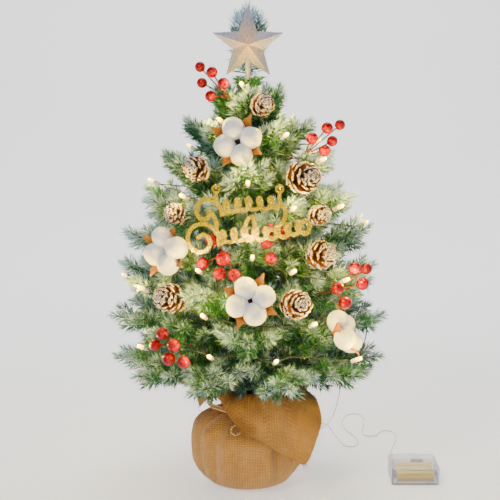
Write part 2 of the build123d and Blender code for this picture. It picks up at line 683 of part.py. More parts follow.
save("battery_case", battery_case())
cover_low = SLOT_LOW + (COVER_SLOT - COVER_THICKNESS) / 2
cover = block((BOX_LEFT + BOX_WALL + COVER_GAP, BOX_FRONT + BOX_WALL - GROOVE_DEPTH + COVER_GAP, cover_low),
              (BOX_RIGHT, BOX_BACK - BOX_WALL + GROOVE_DEPTH - COVER_GAP, cover_low + COVER_THICKNESS))  # fmt: skip
for rib in range(3):
    cover += block((BOX_RIGHT - 5 - rib * 2.5, BOX_FRONT + 22, cover_low + 1),
                   (BOX_RIGHT - 4 - rib * 2.5, BOX_BACK - 22, cover_low + COVER_THICKNESS + 0.6))  # fmt: skip
save("battery_cover", cover.solid())
save("battery_cells", *[battery_cell(row) for row in range(3)])
save("contact_springs", *[ring for row in range(3) for ring in contact_spring(row)])
save("contact_plates", *[contact_plate(row, side) for row in range(3) for side in (-1, 1)])

board_low = BOX_WALL + 0.4
board = block((SWITCH_X - 14, PARTITION_Y + 1.6, board_low), (SWITCH_X + 14, BOX_BACK - 2.2, board_low + 1.2))
switch_body = block((SWITCH_X - 8, PARTITION_Y + 2.0, board_low + 1.2), (SWITCH_X + 8, BOX_BACK - 3.6, 14.4))
save("circuit_board", (board + switch_body).solid())
knob = block((SWITCH_X - 4.2, BOX_BACK - 3.2, 7.9), (SWITCH_X - 0.2, BOX_BACK + 1.6, 12.1))
save("switch_slider", knob.solid())
save("cord_grommet", turned(
    [(0, 0), (1.8, 0), (1.8, 3.4), (2.8, 3.4), (2.2, 10.4), (0, 10.4)],
    Vector(GROMMET_X, BOX_BACK - 2.4, GROMMET_Z), Vector(0, 1, 0)))  # fmt: skip
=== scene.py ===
import math

import bpy
import numpy as np
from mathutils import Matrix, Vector


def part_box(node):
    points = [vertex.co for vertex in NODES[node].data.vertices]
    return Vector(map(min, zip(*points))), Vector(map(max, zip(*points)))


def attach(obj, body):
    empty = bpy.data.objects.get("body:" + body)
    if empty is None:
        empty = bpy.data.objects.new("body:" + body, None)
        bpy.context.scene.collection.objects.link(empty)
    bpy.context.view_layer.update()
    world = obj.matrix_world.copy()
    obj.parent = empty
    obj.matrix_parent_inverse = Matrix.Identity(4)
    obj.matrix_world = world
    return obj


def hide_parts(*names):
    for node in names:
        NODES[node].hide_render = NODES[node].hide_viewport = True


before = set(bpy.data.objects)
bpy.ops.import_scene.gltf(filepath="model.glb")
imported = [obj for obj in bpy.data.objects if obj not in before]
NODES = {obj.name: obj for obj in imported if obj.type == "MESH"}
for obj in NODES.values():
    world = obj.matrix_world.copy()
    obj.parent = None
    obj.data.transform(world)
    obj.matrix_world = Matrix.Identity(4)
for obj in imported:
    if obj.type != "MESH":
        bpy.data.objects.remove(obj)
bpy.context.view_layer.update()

MM = 0.001
GOLDEN_TURN = 2.39996  # between one needle or scale and the next, in radians
rng = np.random.default_rng(432)


# --- Mesh helpers -------------------------------------------------------------------------
def islands(node):
    """The vertex positions of each separate solid of a CAD node."""
    mesh = NODES[node].data
    co = np.empty(len(mesh.vertices) * 3)
    mesh.vertices.foreach_get("co", co)
    co = co.reshape(-1, 3)
    _, weld = np.unique(np.round(co * 2e5).astype(np.int64), axis=0, return_inverse=True)
    weld = weld.reshape(-1)
    edges = np.empty(len(mesh.edges) * 2, np.int64)
    mesh.edges.foreach_get("vertices", edges)
    edges = weld[edges].reshape(-1, 2)
    label = np.arange(weld.max() + 1)
    while True:
        low = np.minimum(label[edges[:, 0]], label[edges[:, 1]])
        new = label.copy()
        np.minimum.at(new, edges[:, 0], low)
        np.minimum.at(new, edges[:, 1], low)
        new = new[new]
        if (new == label).all():
            break
        label = new
    owner = label[weld]
    return [co[owner == k] for k in np.unique(owner)]


def make_mesh(name, verts, faces, smooth=True):
    """A mesh object from an array of vertices and a list of face arrays, each of one face size."""
    mesh = bpy.data.meshes.new(name)
    loops = np.concatenate([f.reshape(-1) for f in faces])
    sizes = np.concatenate([np.full(len(f), f.shape[1]) for f in faces])
    mesh.vertices.add(len(verts))
    mesh.vertices.foreach_set("co", np.ascontiguousarray(verts, np.float32).reshape(-1))
    mesh.loops.add(len(loops))
    mesh.loops.foreach_set("vertex_index", loops.astype(np.int32))
    mesh.polygons.add(len(sizes))
    mesh.polygons.foreach_set("loop_start", np.concatenate([[0], np.cumsum(sizes)[:-1]]).astype(np.int32))
    mesh.polygons.foreach_set("use_smooth", np.full(len(sizes), smooth))
    mesh.update(calc_edges=True)
    mesh.validate()
    piece = bpy.data.objects.new(name, mesh)
    bpy.context.scene.collection.objects.link(piece)
    return piece


def add_attribute(piece, name, values):
    """A colour attribute on the vertices: up to three numbers for each."""
    values = np.atleast_2d(values)
    if values.shape[0] == 1 and len(piece.data.vertices) > 1:
        values = values.T
    data = np.ones((len(values), 4), np.float32)
    data[:, : values.shape[1]] = values
    layer = piece.data.attributes.new(name, "FLOAT_COLOR", "POINT")
    layer.data.foreach_set("color", data.reshape(-1))


def unit(v):
    """Vectors of length one."""
    v = np.asarray(v, float)
    return v / np.maximum(np.linalg.norm(v, axis=-1, keepdims=True), 1e-12)


def across(axis):
    """Two directions at right angles to a direction and to each other."""
    axis = unit(axis)
    helper = np.array([0, 0, 1.0]) if abs(axis[2]) < 0.9 else np.array([1.0, 0, 0])
    first = unit(np.cross(axis, helper))
    return first, np.cross(axis, first)


def around(radius, bearing, height):
    """A point round the trunk: bearing 0 faces the viewer's side, positive to the right."""
    turn = math.radians(bearing)
    return np.array([radius * math.sin(turn), -radius * math.cos(turn), height])


def place(piece, body, nodes=(), material=None):
    """Gives a piece its material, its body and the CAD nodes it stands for."""
    if material is not None:
        piece.data.materials.append(material)
    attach(piece, body)
    if nodes:
        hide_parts(*nodes)
    return piece


# --- Material helpers ---------------------------------------------------------------------
class Shader:
    """Short names for the nodes of one material."""

    def __init__(self, name):
        self.material = bpy.data.materials.new(name)
        self.material.use_nodes = True
        self.tree = self.material.node_tree
        self.surface = self.tree.nodes["Principled BSDF"]
        self.place = self.tree.nodes.new("ShaderNodeTexCoord").outputs["Object"]

    def node(self, kind, props=None, **sockets):
        made = self.tree.nodes.new(kind)
        for key, value in (props or {}).items():
            setattr(made, key, value)
        for key, value in sockets.items():
            self.put(made.inputs[key.replace("_", " ")], value)
        return made

    def put(self, socket, value):
        if isinstance(value, bpy.types.NodeSocket):
            self.tree.links.new(value, socket)
        else:
            socket.default_value = value

    def set(self, **sockets):
        for key, value in sockets.items():
            self.put(self.surface.inputs[key.replace("_", " ")], value)
        return self

    def noise(self, scale, detail=4.0, rough=0.55, where=None):
        made = self.node("ShaderNodeTexNoise", Scale=scale, Detail=detail, Roughness=rough)
        self.put(made.inputs["Vector"], where or self.place)
        return made.outputs["Fac"]

    def cells(self, scale, feature="F1", output="Distance"):
        made = self.node("ShaderNodeTexVoronoi", {"feature": feature}, Vector=self.place, Scale=scale)
        return made.outputs[output]

    def math(self, operation, first, second=0.0, clamp=False):
        made = self.node("ShaderNodeMath", {"operation": operation, "use_clamp": clamp})
        self.put(made.inputs[0], first)
        self.put(made.inputs[1], second)
        return made.outputs[0]

    def plus(self, first, second, clamp=False):
        return self.math("ADD", first, second, clamp)

    def times(self, first, second, clamp=False):
        return self.math("MULTIPLY", first, second, clamp)

    def ramp(self, value, *stops):
        made = self.node("ShaderNodeValToRGB", Fac=value)
        elements = made.color_ramp.elements
        while len(elements) < len(stops):
            elements.new(0.5)
        for element, (position, colour) in zip(elements, stops):
            element.position = position
            element.color = (*colour, 1.0) if not isinstance(colour, float) else (colour,) * 3 + (1.0,)
        return made.outputs["Color"]

    def mix(self, amount, first, second):
        made = self.node("ShaderNodeMix", {"data_type": "RGBA"})
        self.put(made.inputs[0], amount)
        for socket, value in ((made.inputs[6], first), (made.inputs[7], second)):
            self.put(socket, value if isinstance(value, bpy.types.NodeSocket) else (*value, 1.0))
        return made.outputs[2]

    def attribute(self, name):
        return self.node("ShaderNodeAttribute", {"attribute_name": name}).outputs["Color"]

    def split(self, colour):
        made = self.node("ShaderNodeSeparateColor", Color=colour)
        return made.outputs[0], made.outputs[1], made.outputs[2]

    def stretch(self, scale, where=None):
        made = self.node("ShaderNodeMapping", Scale=scale)
        self.put(made.inputs["Vector"], where or self.place)
        return made.outputs["Vector"]

    def relief(self, height, strength=0.5, distance=0.001):
        made = self.node("ShaderNodeBump", Height=height, Strength=strength, Distance=distance)
        return self.set(Normal=made.outputs["Normal"])


def speckled(name, dark, light, scale=300, rough=(0.4, 0.6), bump=0.3, metal=0.0):
    """A finish that varies between two colours, with a fine relief."""
    sh = Shader(name)
    coarse = sh.noise(scale * 0.2, 3)
    fine = sh.noise(scale, 5)
    blend = sh.plus(sh.times(coarse, 0.6), sh.times(fine, 0.4))
    sh.set(Base_Color=sh.ramp(blend, (0.35, dark), (0.65, light)), Metallic=metal)
    sh.set(Roughness=sh.ramp(fine, (0.3, rough[0]), (0.7, rough[1])))
    return sh.relief(fine, bump, 0.0005).material


# --- Camera, floor and light --------------------------------------------------------------
def aim(thing, target):
    way = Vector(target) - thing.location
    thing.rotation_euler = way.to_track_quat("-Z", "Y").to_euler()


CAMERA_PLACE = (0.0025, -1.65, 0.60)
CAMERA_TARGET = (0.0025, 0, 0.305)
CAMERA_ANGLE = 21.45
FLOOR_DROP = 0.0002  # keeps the floor just under the part
FLOOR_GLOW = 0.64
WORLD_GLOW = 0.18

camera_data = bpy.data.cameras.new("camera")
camera_data.sensor_fit = "HORIZONTAL"
camera_data.angle = math.radians(CAMERA_ANGLE)
camera_data.clip_end = 20
camera = bpy.data.objects.new("camera", camera_data)
bpy.context.scene.collection.objects.link(camera)
camera.location = CAMERA_PLACE
aim(camera, CAMERA_TARGET)
bpy.context.scene.camera = camera


def studio_sweep():
    """A pale floor that curves up into the wall behind, with a little light of its own."""
    bend, back, steps = 1.6, 3.6, 24
    line = [(-4.0, 0.0), (back - bend, 0.0)]
    turns = [math.pi / 2 * k / steps for k in range(1, steps + 1)]
    line += [(back - bend + bend * math.sin(turn), bend - bend * math.cos(turn)) for turn in turns]
    line.append((back, 6.0))
    verts = np.array([(x, y, z - FLOOR_DROP) for y, z in line for x in (-5.0, 5.0)])
    faces = np.array([(2 * k, 2 * k + 1, 2 * k + 3, 2 * k + 2) for k in range(len(line) - 1)])
    piece = make_mesh("floor", verts, [faces])
    sh = Shader("floor_white")
    tone = sh.ramp(sh.noise(3), (0.3, (0.88,) * 3), (0.7, (0.90,) * 3))
    sh.set(Base_Color=tone, Roughness=0.6, Emission_Color=tone, Emission_Strength=FLOOR_GLOW)
    piece.data.materials.append(sh.material)


studio_sweep()

world = bpy.data.worlds.new("studio")
bpy.context.scene.world = world
world.use_nodes = True
background = world.node_tree.nodes["Background"]
background.inputs["Color"].default_value = (1.0, 1.0, 1.0, 1)
background.inputs["Strength"].default_value = WORLD_GLOW


def area_light(name, location, target, size, power):
    data = bpy.data.lights.new(name, "AREA")
    data.shape = "DISK"
    data.size = size
    data.energy = power
    lamp = bpy.data.objects.new(name, data)
    lamp.location = location
    bpy.context.scene.collection.objects.link(lamp)
    aim(lamp, target)


area_light("key", (-1.1, -1.9, 1.7), (0, 0, 0.3), 0.50, 30)
area_light("fill", (1.5, -1.4, 1.0), (0, 0, 0.3), 1.2, 7)
area_light("wall", (0.0, 0.9, 2.6), (0, 3.4, 1.2), 1.6, 90)
area_light("top", (0.2, 0.3, 1.9), (0, 0, 0.3), 0.8, 9)


# --- Lead wire to the battery box ---------------------------------------------------------
LEAD_ROUTE_MM = [
    (124, 42, 140), (124, 45, 118), (121, 58, 92), (118, 82, 66), (114, 114, 43), (108, 148, 24),
    (101, 180, 9), (97, 208, 0.8), (98, 230, 0.8), (108, 237, 0.8), (118, 231, 0.8),
    (122, 208, 0.8), (125, 182, 0.8), (131, 156, 0.8), (134, 135, 0.8), (144, 128, 0.8),
    (154, 134, 0.8), (157, 157, 0.8), (151, 182, 0.8), (142, 206, 0.8), (138, 232, 0.8),
    (142, 258, 0.8), (150, 280, 0.8), (161, 286, 0.8), (171, 279, 0.8), (174, 256, 0.8),
    (171, 230, 0.8), (167, 205, 0.8), (166, 183, 0.8), (175, 175, 0.8), (186, 179, 0.8),
    (191, 197, 0.8), (200, 204, 0.8), (210, 199, 0.8), (214, 180, 0.8), (210, 154, 0.8),
    (203, 129, 0.8), (198, 103, 1.2), (195, 80, 3.0), (195, 63, 5.0), (195, 48, 6.0),
]  # fmt: skip
LEAD_DIAMETER = 0.0016

lead_data = bpy.data.curves.new("lead", "CURVE")
lead_data.dimensions = "3D"
spline = lead_data.splines.new("NURBS")
spline.points.add(len(LEAD_ROUTE_MM) - 1)
for point, (x, y, z) in zip(spline.points, LEAD_ROUTE_MM):
    point.co = (x * MM, y * MM, z * MM, 1)
spline.order_u = 3
spline.use_endpoint_u = True
spline.resolution_u = 10
lead_data.bevel_depth = LEAD_DIAMETER / 2
lead_data.bevel_resolution = 4
lead = bpy.data.objects.new("lead", lead_data)
bpy.context.scene.collection.objects.link(lead)

wire_shader = Shader("clear_wire")
strands = wire_shader.node("ShaderNodeTexWave", {"wave_type": "BANDS", "bands_direction": "DIAGONAL"},
                           Vector=wire_shader.place, Scale=260.0, Distortion=1.5)  # fmt: skip
wire_shader.set(Base_Color=wire_shader.ramp(strands.outputs["Fac"], (0.2, (0.56, 0.56, 0.56)),
                                            (0.8, (0.88, 0.88, 0.86))))  # fmt: skip
wire_shader.set(Roughness=0.22, Metallic=0.05, Coat_Weight=0.6, Coat_Roughness=0.15)
wire_shader.relief(strands.outputs["Fac"], 0.4, 0.0002)
place(lead, "root", ["lead_wire"], wire_shader.material)


# --- Ornament places, read from the CAD nodes ---------------------------------------------
def centre_of(points):
    return (points.min(0) + points.max(0)) / 2


def solids(node):
    """The middle of each solid of a node and its reach from there."""
    found = []
    for points in islands(node):
        middle = centre_of(points)
        found.append((middle, float(np.linalg.norm(points - middle, axis=1).max())))
    return found


CONE_RAISED = 12  # degrees that a cone faces above the level


class Ornament:
    """A round ornament: its middle, the way it faces and how far it reaches."""

    def __init__(self, middle, facing, radius):
        self.middle = middle
        self.facing = unit(facing)
        self.radius = radius


def cone_ornament(points):
    """A pinecone faces outward and a little up; its length and width are measured that way."""
    middle = points.mean(0)
    outward = unit(np.array([middle[0], middle[1], 0]))
    raised = math.radians(CONE_RAISED)
    facing = outward * math.cos(raised) + np.array([0, 0, math.sin(raised)])
    along = (points - middle) @ facing
    side = points - middle - along[:, None] * facing
    ornament = Ornament(middle + facing * (along.max() + along.min()) / 2, facing,
                        float(np.linalg.norm(side, axis=1).max()))  # fmt: skip
    ornament.length = float(along.max() - along.min())
    return ornament


cones = [cone_ornament(points) for points in islands("pinecones")]
lobe_points = islands("cotton_lobes")
bolls = []
left = list(range(len(lobe_points)))
while left:
    start = lobe_points[left[0]].mean(0)
    near = sorted(left, key=lambda k: np.linalg.norm(lobe_points[k].mean(0) - start))[:4]
    left = [k for k in left if k not in near]
    middle = np.mean([centre_of(lobe_points[k]) for k in near], axis=0)
    centres = np.array([lobe_points[k].mean(0) for k in near])
    normal = unit(np.linalg.svd(centres - centres.mean(0))[2][2])
    if normal @ np.array([middle[0], middle[1], 0]) < 0:
        normal = -normal
    boll = Ornament(middle, normal, 0.030)
    boll.lobes = [lobe_points[k] for k in near]
    bolls.append(boll)

berries = solids("red_berries")
lamps = [Ornament(middle, unit([middle[0], middle[1], 0.4 * math.hypot(middle[0], middle[1])]), radius)
         for middle, radius in solids("led_bulbs")]  # fmt: skip
for lamp, points in zip(lamps, islands("led_bulbs")):
    lamp.middle = points.mean(0)

star_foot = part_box("star_front_shell")[0].z
star_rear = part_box("star_back_shell")[1].y + 0.001
sign_low, sign_high = (np.array(corner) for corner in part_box("sign"))


def clear_of_ornaments(points):
    """True for needles whose points don't cover an ornament's face."""
    keep = np.ones(len(points), bool)
    for ornament, size, depth in (
        [(c, c.radius * 0.93, 0.25 * c.length) for c in cones]
        + [(b, b.radius * 0.95, 0.3 * b.radius) for b in bolls]
        + [(lamp, 0.0048, 0.0) for lamp in lamps]
    ):
        v = points - ornament.middle
        along = v @ ornament.facing
        side = np.linalg.norm(v - along[..., None] * ornament.facing, axis=-1)
        keep &= ~((along > -depth) & (along < 0.09) & (side < size)).any(axis=1)
    for middle, radius in berries:
        facing = unit([middle[0], middle[1], 0])
        v = points - middle
        along = v @ facing
        side = np.linalg.norm(v - along[..., None] * facing, axis=-1)
        keep &= ~((along > -0.5 * radius) & (along < 0.05) & (side < radius * 0.9)).any(axis=1)
    inside = ((points[..., 0] > sign_low[0] - 0.002) & (points[..., 0] < sign_high[0] + 0.002)
              & (points[..., 2] > sign_low[2] - 0.002) & (points[..., 2] < sign_high[2] + 0.002)
              & (points[..., 1] < sign_high[1] + 0.002))  # fmt: skip
    return keep & ~inside.any(axis=1)


# --- Needles ------------------------------------------------------------------------------
NEEDLES_PER_METRE = 4500
NEEDLE_LENGTH = 0.0138
NEEDLE_WIDTH = 0.00150
SIDE_TWIGS = [(0.26, 0.30, 1), (0.40, 0.36, -1), (0.45, 0.34, 1), (0.60, 0.30, -1), (0.66, 0.28, 1),
              (0.80, 0.20, -1)]  # place along the branch, share of its length, side  # fmt: skip
FILLING_TWIGS = [(0.22, 0.75, 0.22), (0.40, 0.55, 0.24), (0.62, 0.45, 0.22), (0.50, -0.50, 0.20),
                 (0.76, -0.35, 0.16)]  # place along the branch, lift, share of its length  # fmt: skip
TWIG_ANGLE = math.radians(34)


class Needles:
    """Flat tapered needles gathered for one piece."""

    def __init__(self):
        self.roots, self.ways, self.bends, self.sizes, self.frost, self.hues = [], [], [], [], [], []

    def brush(self, start, end, density=1.0, length=NEEDLE_LENGTH, frost=0.5, bare=0.0, spread=1.0):
        """A twig's needles, all round it, leaning towards its tip and pointing nearly along it at the very
        end.
        """
        axis = end - start
        size = float(np.linalg.norm(axis))
        axis = axis / size
        first, second = across(axis)
        count = max(12, int(size * (1 - bare) * NEEDLES_PER_METRE * density))
        along = bare + (1 - bare) * (np.arange(count) + rng.random(count)) / count
        turn = np.arange(count) * GOLDEN_TURN + rng.normal(0, 0.5, count)
        lean = np.radians(62 - 18 * along**3 + rng.normal(0, 8, count)) * spread
        tip = along > 1 - 0.004 / size
        lean[tip] = np.radians(rng.uniform(6, 40, tip.sum()))
        radial = np.cos(turn)[:, None] * first + np.sin(turn)[:, None] * second
        way = axis * np.cos(lean)[:, None] + radial * np.sin(lean)[:, None]
        self.roots.append(start + axis * (along * size)[:, None])
        self.ways.append(way)
        self.bends.append(axis * rng.normal(0.10, 0.10, count)[:, None] + rng.normal(0, 0.07, (count, 3)))
        self.sizes.append(length * rng.normal(1, 0.14, count).clip(0.6, 1.35))
        outer = np.clip((along - 0.35) / 0.65, 0, 1)
        self.frost.append(np.clip(frost * (0.35 + 0.85 * outer) + rng.normal(0, 0.16, count), 0, 1))
        self.hues.append(rng.random(count) * 0.5 + rng.random() * 0.5)

    def mesh(self, name):
        root, way, bend = (np.concatenate(k) for k in (self.roots, self.ways, self.bends))
        size, frost, hue = (np.concatenate(k) for k in (self.sizes, self.frost, self.hues))
        tip = root + unit(way + bend) * size[:, None]
        middle = root + way * (0.5 * size)[:, None]
        keep = clear_of_ornaments(np.stack([middle, tip, (middle + tip) / 2], axis=1))
        keep &= ~((tip[:, 2] > star_foot) & (np.minimum(tip[:, 1], middle[:, 1]) < star_rear))
        kept = (k[keep] for k in (root, way, size, frost, hue, tip, middle))
        root, way, size, frost, hue, tip, middle = kept
        count = len(root)
        flat = unit(np.cross(way, rng.normal(0, 1, (count, 3))))
        thick = unit(np.cross(way, flat))
        half = NEEDLE_WIDTH / 2 * rng.normal(1, 0.12, count).clip(0.7, 1.3)[:, None]
        rings = [root, middle + flat * half, middle - flat * half, middle + thick * half * 0.45, tip]
        verts = np.stack(rings, axis=1).reshape(-1, 3)
        base = np.arange(count)[:, None] * 5
        faces = np.concatenate([base + np.array(f) for f in ((0, 1, 3), (0, 3, 2), (0, 2, 1),
                                                             (4, 3, 1), (4, 2, 3), (4, 1, 2))])  # fmt: skip
        piece = make_mesh(name, verts, [faces], smooth=False)
        along = np.tile([0.0, 0.5, 0.5, 0.5, 1.0], count)
        add_attribute(piece, "needle", np.stack([np.repeat(frost, 5), np.repeat(hue, 5), along], axis=1))
        return piece


def branch_axis(points):
    """A branch wire's root, tip and the level direction of its fan."""
    radial = np.hypot(points[:, 0], points[:, 1])
    root = points[radial < radial.min() + 0.0012].mean(0)
    reach = np.linalg.norm(points - root, axis=1)
    tip = points[reach > reach.max() - 0.0012].mean(0)
    axis = unit(tip - root)
    spread = points - root - ((points - root) @ axis)[:, None] * axis
    side = np.linalg.svd(spread, full_matrices=False)[2][0]
    side = unit(side - (side @ axis) * axis)
    return root, tip, side


def branch_needles(store, points, frost):
    """The needles of one branch: its main wire, its side twigs and a few small upright tufts."""
    root, tip, side = branch_axis(points)
    axis = tip - root
    size = float(np.linalg.norm(axis))
    way = axis / size
    up = unit(np.cross(way, side))
    if up[2] < 0:
        up = -up
    store.brush(root, tip, frost=frost, bare=0.10)
    for share, reach, hand in SIDE_TWIGS:
        start = root + axis * share
        lift = rng.normal(0.10, 0.16)
        out = unit(way * math.cos(TWIG_ANGLE) + side * hand * math.sin(TWIG_ANGLE) + up * lift)
        store.brush(start, start + out * size * reach, frost=frost)
    for share, lift, reach in FILLING_TWIGS:
        start = root + axis * share
        out = unit(way * 0.85 + up * lift + side * rng.normal(0, 0.25))
        store.brush(start, start + out * size * reach, frost=frost * (1.0 if lift > 0 else 0.6))


def needle_shader():
    """PVC needles: deep green to blue-green, with white flocking that grows towards the tips."""
    sh = Shader("pvc_needles")
    frost, hue, along = sh.split(sh.attribute("needle"))
    green = sh.ramp(hue, (0.0, (0.004, 0.046, 0.026)), (0.35, (0.010, 0.105, 0.045)),
                    (0.65, (0.030, 0.180, 0.036)), (1.0, (0.075, 0.290, 0.040)))  # fmt: skip
    patch = sh.noise(28, 3)
    snow = sh.plus(sh.times(frost, 0.85), sh.times(along, 0.35))
    snow = sh.plus(snow, sh.times(sh.math("SUBTRACT", patch, 0.5), 0.9), clamp=True)
    grain = sh.noise(2600, 3)
    flock = sh.ramp(grain, (0.3, (0.38, 0.62, 0.74)), (0.7, (0.70, 0.88, 0.98)))
    cover = sh.ramp(snow, (0.42, 0.0), (0.90, 0.94))
    sh.set(Base_Color=sh.mix(cover, green, flock), Roughness=sh.ramp(cover, (0, 0.38), (1, 0.85)))
    sh.set(Subsurface_Weight=0.0, Specular_IOR_Level=0.35)
    return sh.relief(grain, 0.35, 0.0002).material


needles_material = needle_shader()
TIER_FROST = {1: 0.50, 2: 0.50, 3: 0.58, 4: 0.62, 5: 0.66, 6: 0.66, 7: 0.62, 8: 0.55}
# over the collar: (bearing, reach, height), in mm
COLLAR_TUFTS = [
    (-78, 60, 143), (-52, 64, 139), (-30, 66, 141), (-8, 66, 138), (14, 68, 141), (36, 66, 139),
    (58, 66, 142), (80, 60, 144), (115, 58, 145), (160, 60, 144), (-160, 58, 145), (-115, 60, 144),
]  # fmt: skip
for tier, frost in TIER_FROST.items():
    store = Needles()
    if tier == 1:
        for bearing, reach, height in COLLAR_TUFTS:
            store.brush(around(0.006, bearing, 0.152), around(reach * MM, bearing, height * MM), frost=0.35)
    for points in islands(f"tier_{tier}_wires"):
        branch_needles(store, points, frost * rng.uniform(0.75, 1.2))
    piece = store.mesh(f"tier_{tier}_foliage")
    place(piece, "root", [f"tier_{tier}_needles"], needles_material)
for number in range(1, 7):
    store = Needles()
    for points in islands(f"loose_branch_{number}_wire"):
        branch_needles(store, points, 0.45)
    piece = store.mesh(f"loose_branch_{number}_foliage")
    place(piece, f"loose_branch_{number}", [f"loose_branch_{number}_needles"], needles_material)

store = Needles()
leader_low, leader_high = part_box("leader_wire")
leader_top = np.array([0, 0, leader_high.z + 0.004])
leader_foot = np.array([0, 0, leader_low.z])
store.brush(leader_foot, leader_top, density=1.6, length=0.022, frost=0.45, spread=0.8)
for bearing, height, lean in ((90, 0.506, 0.55), (-90, 0.510, 0.5), (150, 0.512, 0.4), (-150, 0.508, 0.4),
                              (35, 0.500, 0.7), (-35, 0.500, 0.7)):  # fmt: skip
    out = around(1, bearing, 0)
    start = np.array([0, 0, height])
    store.brush(start, start + (out * lean + np.array([0, 0, 1.0])) * 0.036, length=0.016, frost=0.45)
star_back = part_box("star_back_shell")[1].y
star_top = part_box("star_front_shell")[1].z
behind = star_back + 0.008
for aside, lift in ((0.0, 0.010), (-0.012, 0.020), (0.012, 0.019), (-0.006, 0.014), (0.007, 0.015)):
    foot = np.array([aside * 0.5, 0.004, 0.520])
    knee = np.array([aside, behind, 0.548])
    store.brush(foot, knee, length=0.017, frost=0.75)
    end = np.array([aside * 1.1, behind + 0.003, star_top - lift])
    store.brush(knee, end, length=0.0185, frost=0.80, density=1.1)
place(store.mesh("leader_foliage"), "root", ["leader_needles"], needles_material)


# --- Pinecones ----------------------------------------------------------------------------
SCALE_COUNT = 58
SCALE_ROWS = 5
SCALE_COLUMNS = 5


def scale_sheet(width, length, curl, cup):
    """One woody scale as a closed thick plate: local x across, y outward along it, z up."""
    top, bottom, tone = [], [], []
    for row in range(SCALE_ROWS):
        v = row / (SCALE_ROWS - 1)
        half = width / 2 * (0.30 + 0.70 * math.sin(math.pi * min(v, 0.72) / 1.44)) * (1 if v < 0.8 else 0.80)
        for column in range(SCALE_COLUMNS):
            u = column / (SCALE_COLUMNS - 1) * 2 - 1
            y = length * (v - 0.16 * u * u * v * v)
            z = curl * length * v**2.2 - cup * width * u * u * (0.3 + 0.7 * v)
            thick = (0.00085 + 0.0011 * v**2) * (1 - 0.55 * u * u)
            top.append((u * half, y, z + thick))
            bottom.append((u * half, y, z - thick * 0.5))
            tone.append((v, abs(u), 0))
    count = len(top)
    faces = []
    for row in range(SCALE_ROWS - 1):
        for column in range(SCALE_COLUMNS - 1):
            a = row * SCALE_COLUMNS + column
            b, c, d = a + 1, a + SCALE_COLUMNS + 1, a + SCALE_COLUMNS
            faces += [(a, b, c, d), (count + d, count + c, count + b, count + a)]
    ring = ([k for k in range(SCALE_COLUMNS)]
            + [row * SCALE_COLUMNS + SCALE_COLUMNS - 1 for row in range(1, SCALE_ROWS)]
            + [(SCALE_ROWS - 1) * SCALE_COLUMNS + k for k in range(SCALE_COLUMNS - 2, -1, -1)]
            + [row * SCALE_COLUMNS for row in range(SCALE_ROWS - 2, 0, -1)])  # fmt: skip
    for here, there in zip(ring, ring[1:] + ring[:1]):
        faces.append((there, here, count + here, count + there))
    return np.array(top + bottom), np.array(faces), np.array(tone * 2)


def pinecone(cone):
    """Scales in a spiral from the base to the blunt top, opening outward."""
    first, second = across(cone.facing)
    verts, faces, tones = [], [], []
    offset = 0
    for index in range(SCALE_COUNT):
        share = index / (SCALE_COUNT - 1)  # 0 at the base, 1 at the top
        turn = index * GOLDEN_TURN + rng.normal(0, 0.08)
        height = cone.length * (-0.40 + 0.80 * share)
        girth = cone.radius * math.sin(math.pi * (0.30 + 0.66 * share)) ** 0.75
        tilt = math.radians(18 + 62 * share**1.2 + rng.normal(0, 4))
        core = girth * 0.10
        length = max(girth * 0.98 - core * 0.6, 0.0035)
        width = cone.radius * (0.66 - 0.34 * share) * rng.normal(1, 0.06)
        points, sheet_faces, tone = scale_sheet(width, length, 0.16, 0.10)
        outward = first * math.cos(turn) + second * math.sin(turn)
        side = np.cross(cone.facing, outward)
        along = outward * math.cos(tilt) + cone.facing * math.sin(tilt)
        up = np.cross(side, along)
        if up @ cone.facing < 0:
            up = -up
        origin = cone.middle + cone.facing * height * 0.9 + outward * core
        verts.append(origin + points[:, :1] * side + points[:, 1:2] * along + points[:, 2:] * up)
        faces.append(sheet_faces + offset)
        tone[:, 2] = rng.random()
        tones.append(tone)
        offset += len(points)
    # the woody core
    rings, steps = 7, 12
    for ring in range(rings):
        share = ring / (rings - 1)
        radius = cone.radius * 0.34 * math.sin(math.pi * (0.12 + 0.80 * share))
        for step in range(steps):
            turn = 2 * math.pi * step / steps
            spot = first * math.cos(turn) + second * math.sin(turn)
            height = cone.length * (share - 0.5) * 0.84
            verts.append((cone.middle + cone.facing * height + spot * radius)[None])
            tones.append(np.array([[0.05, 0.5, 0.2]]))
    for ring in range(rings - 1):
        for step in range(steps):
            a = offset + ring * steps + step
            b = offset + ring * steps + (step + 1) % steps
            faces.append(np.array([[a, b, b + steps, a + steps]]))
    return np.concatenate(verts), np.concatenate(faces), np.concatenate(tones)


def joined(parts):
    """Several (verts, faces, tones) as one."""
    verts, faces, tones, offset = [], [], [], 0
    for v, f, t in parts:
        verts.append(v)
        faces.append(f + offset)
        tones.append(t)
        offset += len(v)
    return np.concatenate(verts), np.concatenate(faces), np.concatenate(tones)


